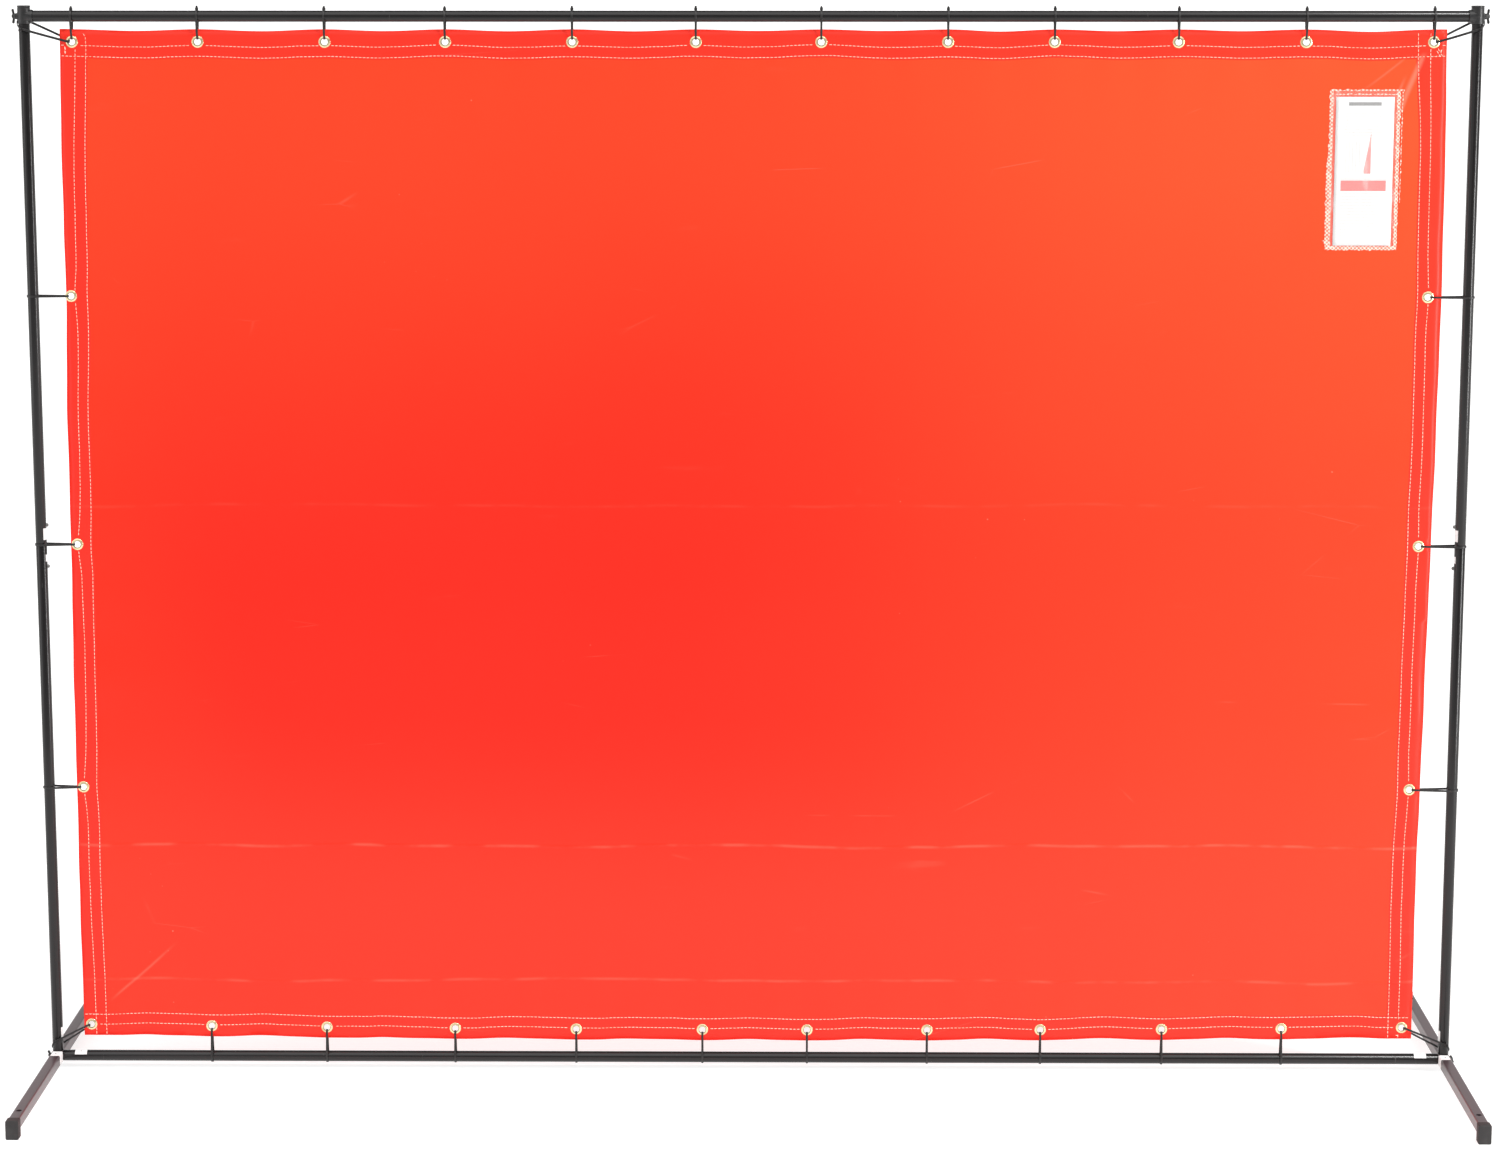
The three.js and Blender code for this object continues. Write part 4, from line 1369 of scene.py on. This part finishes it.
def makePouch():
    low, high = pouchLow, pouchHigh
    cardLow, cardHigh = box("document_card")
    half = pouch["seam"] / 2
    y = high.y - 0.05
    weld = Build()
    for start, end, wide, seed, swell in (
            ((low.x + half, low.z + 1), (low.x + half, high.z - 1), pouch["seam"], 1, pouch["swell"]),
            ((high.x - half, high.z - 1), (high.x - half, low.z + 1), pouch["seam"], 2, 0),
            ((high.x - 1, low.z + half), (low.x + 1, low.z + half), pouch["seam"] + 1, 3, 0),
            ((high.x + 3.4, high.z - 4), (high.x + 2.6, high.z - 190), 1.2, 6, 0),
            ((low.x - 6, low.z + 15), (low.x + 5, low.z + 15.5), 1.4, 7, 0),
            ((low.x + 2, high.z - 1.6), (high.x + 6, high.z - 1.6), 2.4, 4, 0),
            ((low.x + 5, high.z - 8.5), (high.x - 5, high.z - 8.5), 1.8, 5, 0)):
        weld.add(weldStrip(start, end, wide, seed, y, swell))
    weld.piece("document_pouch_weld", [finishes["weld"]], "pouch_vinyl", sharp=50)

    def swollen(u, v):
        # the clear front swells over the card
        x = low.x + half + (high.x - low.x - 2 * half) * u
        z = low.z + half + (high.z - 2 - low.z - half) * v
        edge = min(1, min(u, 1 - u) * 7) * min(1, v * 14)
        sway = waver(x / 26, z / 40, 3) * 0.14
        return x, y - 0.3 - (1.45 + sway) * edge * edge * (3 - 2 * edge), z

    def bowed(u, v):
        # the card bows slightly in its pocket
        bow = 0.18 * math.sin(math.pi * u) + 0.06 * math.sin(2 * math.pi * v)
        return (cardLow.x + (cardHigh.x - cardLow.x) * u, (cardLow.y + cardHigh.y) / 2 - bow + 0.1,
                cardLow.z + (cardHigh.z - cardLow.z) * v)

    film = patch(swollen, 30, 60).piece(
        "document_pouch_film", [finishes["film"]], "pouch_vinyl", ["document_pouch"], sharp=60)
    thicken(film, pouch["skin"])
    paperCard = patch(bowed, 12, 24).piece(
        "document_card_sheet", [finishes["card"]], "card_paper", ["document_card"], sharp=60)
    thicken(paperCard, pouch["card"])


makePouch()
print("pouch and card made")


# Blank labels stuck to the tubes

labels = {
    "thick": 0.14, "lift": 0.08, "markAt": 66, "railMark": 1.1, "footMark": 1.3,
    # lowest and highest place, first and last angle round the post, and how far the end peels
    "above": (11, 31, 35, 150, 1.6), "below": (-27, -15, 55, 150, 0.8), "base": (24, 43, 50, 150, 1.8),
    "rail": (21, 42, 1.0), "foot": (-23.5, 26),
}


def bandLabel(name, centres, outs, wide, along, ink=None):
    # a label bent along a path; along is the direction of its width
    under, face = labels["lift"], labels["lift"] + labels["thick"]
    skin = [(under, -wide / 2), (face, -wide / 2), (face, wide / 2), (under, wide / 2)]
    build = solid(sweep(centres, outs, [along] * len(centres), skin))
    if ink:
        # a small generic round mark
        spot, out, side, radius = ink
        disc = lathe([(0, 0), (radius, 0), (radius, 0.06), (0, 0.06)], 20)
        turn = Matrix((side.cross(out), side, out)).transposed().to_4x4()
        build.add(disc, Matrix.Translation(spot + out * (face - 0.01)) @ turn, 1)
    return build.piece(name, [finishes["label"], finishes["ink"]], sharp=40)


def postLabel(name, node, level, low, high, start, end, peel):
    # a label round part of a post; angles are measured from the side facing the camera towards the middle
    x = middle(node).x
    radius = (box(node)[1].x - box(node)[0].x) / 2
    inward = 1 if x < 0 else -1
    centres, outs = [], []
    for i in range(13):
        turn = math.radians(start + (end - start) * i / 12)
        out = Vector((inward * math.sin(turn), -math.cos(turn), 0))
        lifted = peel * max(0, i / 12 - 0.7) ** 2 * 11
        centres.append(Vector((x, 0, level + (low + high) / 2)) + out * (radius + lifted))
        outs.append(out)
    return bandLabel(name, centres, outs, high - low, zAxis)


def railLabel(name, side):
    # round the front and top of the bottom rail
    low, high = box("bottom_rail")
    near, far, peel = labels["rail"]
    radius = (high.z - low.z) / 2
    x = (low.x if side < 0 else high.x) - side * (near + far) / 2
    heart = Vector((x, 0, (low.z + high.z) / 2))

    def outward(degrees):
        turn = math.radians(degrees)
        return Vector((0, -math.cos(turn), math.sin(turn)))

    outs = [outward(24 + 104 * i / 12) for i in range(13)]
    centres = [heart + out * (radius + peel * (i / 12) ** 3) for i, out in enumerate(outs)]
    out = outward(labels["markAt"])
    ink = (heart + out * radius, out, xAxis, labels["railMark"])
    return bandLabel(name, centres, outs, far - near, xAxis, ink)


def footLabel(name, side):
    # folded over the inner top edge of the foot, in front of the post
    x, z, width = footSection(name)
    inward = -side
    half, corner = width / 2, foot["corner"]
    y, wide = labels["foot"]
    centres, outs = [], []
    for across in (-half + 2.4, -half / 2, 0, half / 2, half - corner - 0.4):
        centres.append(Vector((x + inward * across, y, z + half)))
        outs.append(zAxis)
    for i in range(7):
        turn = math.pi / 2 * i / 6
        out = Vector((inward * math.sin(turn), 0, math.cos(turn)))
        centres.append(Vector((x + inward * (half - corner), y, z + half - corner)) + out * corner)
        outs.append(out)
    for drop in (half - corner - 1, half, half + 4, width - 2.5):
        centres.append(Vector((x + inward * half, y, z + half - max(corner, drop))))
        outs.append(Vector((inward, 0, 0)))
    ink = (Vector((x, y, z + half)), zAxis, yAxis, labels["footMark"])
    return bandLabel(f"label_foot_{name}", centres, outs, wide, yAxis, ink)


def makeLabels():
    for name, side in sides:
        lower, upper = f"post_{name}_lower", f"post_{name}_upper"
        base, joint = (end.z for end in box(lower))
        postLabel(f"label_{name}_above_joint", upper, joint, *labels["above"])
        postLabel(f"label_{name}_below_joint", lower, joint, *labels["below"])
        postLabel(f"label_{name}_base", lower, base, *labels["base"])
        railLabel(f"label_rail_{name}", side)
        footLabel(name, side)


makeLabels()
print("labels stuck on")


# Studio: pale floor, soft light and the camera

studio = {"camera": (0.061, -6.288, 1.983), "pitch": 80.089, "yaw": 0.547, "lens": 88.95,
          "sun": 1.1, "sunAngle": 7, "sunAzimuth": 52, "sunHeight": 50,
          "dim": 0.20, "overhead": 2.0, "leftWall": 0.60, "backWall": 1.0,
          # place, size and power of the soft lights
          "soft": (("softRight", (3.6, -1.7, 1.35), (0.45, 2.4), 84),
                   ("softLeft", (-3.7, -1.3, 1.5), (0.9, 2.2), 12)),
          "floor": (-160, 160, -60, 240)}


def aimed(lamp, back):
    # turns a lamp so that it shines against the given direction
    lamp.rotation_euler = (-Vector(back)).to_track_quat("-Z", "Y").to_euler()


def makeStudio():
    floor = bpy.data.meshes.new("studioFloor")
    left, right, front, back = studio["floor"]
    floor.from_pydata([(left, front, 0), (right, front, 0), (right, back, 0), (left, back, 0)],
                      [], [[0, 1, 2, 3]])
    floor.materials.append(studioFloor())
    shown("studioFloor", floor)

    scene.world = bpy.data.worlds.new("studioSky")
    s = Sketch("studioSky", scene.world)
    where = s.node("TexCoord", output="Generated")
    x, y, z = [s.node("SeparateXYZ", sockets={0: where}, output=i) for i in range(3)]
    overhead = z.ramp(0.30, 0.75) * y.ramp(0.35, -0.20) * studio["overhead"]
    leftWall = x.ramp(-0.18, -0.50) * z.ramp(0.75, 0.35) * studio["leftWall"]
    backWall = y.ramp(0.15, 0.50) * z.ramp(0.42, 0.20) * studio["backWall"]
    light = overhead + leftWall + backWall + studio["dim"]
    sky = s.node("Background", sockets={"Color": (1.0, 0.99, 0.985, 1), "Strength": light})
    s.node("OutputWorld", sockets={"Surface": sky})

    sun = bpy.data.lights.new("keyLight", "SUN")
    sun.energy, sun.angle = studio["sun"], math.radians(studio["sunAngle"])
    azimuth, height = math.radians(studio["sunAzimuth"]), math.radians(studio["sunHeight"])
    aimed(shown("keyLight", sun), (math.sin(azimuth) * math.cos(height),
                                   -math.cos(azimuth) * math.cos(height), math.sin(height)))
    for name, place, size, power in studio["soft"]:
        area = bpy.data.lights.new(name, "AREA")
        area.shape, area.size, area.size_y, area.energy = "RECTANGLE", size[0], size[1], power
        lamp = shown(name, area)
        lamp.location = place
        aimed(lamp, lamp.location - Vector((0, 0, 1.0)))

    view = bpy.data.cameras.new("camera")
    view.lens, view.sensor_width, view.clip_end = studio["lens"], 36, 400
    camera = shown("camera", view)
    camera.location = studio["camera"]
    camera.rotation_euler = (math.radians(studio["pitch"]), 0, math.radians(studio["yaw"]))
    scene.camera = camera
    scene.view_settings.view_transform = "Standard"


makeStudio()
print("studio lit")
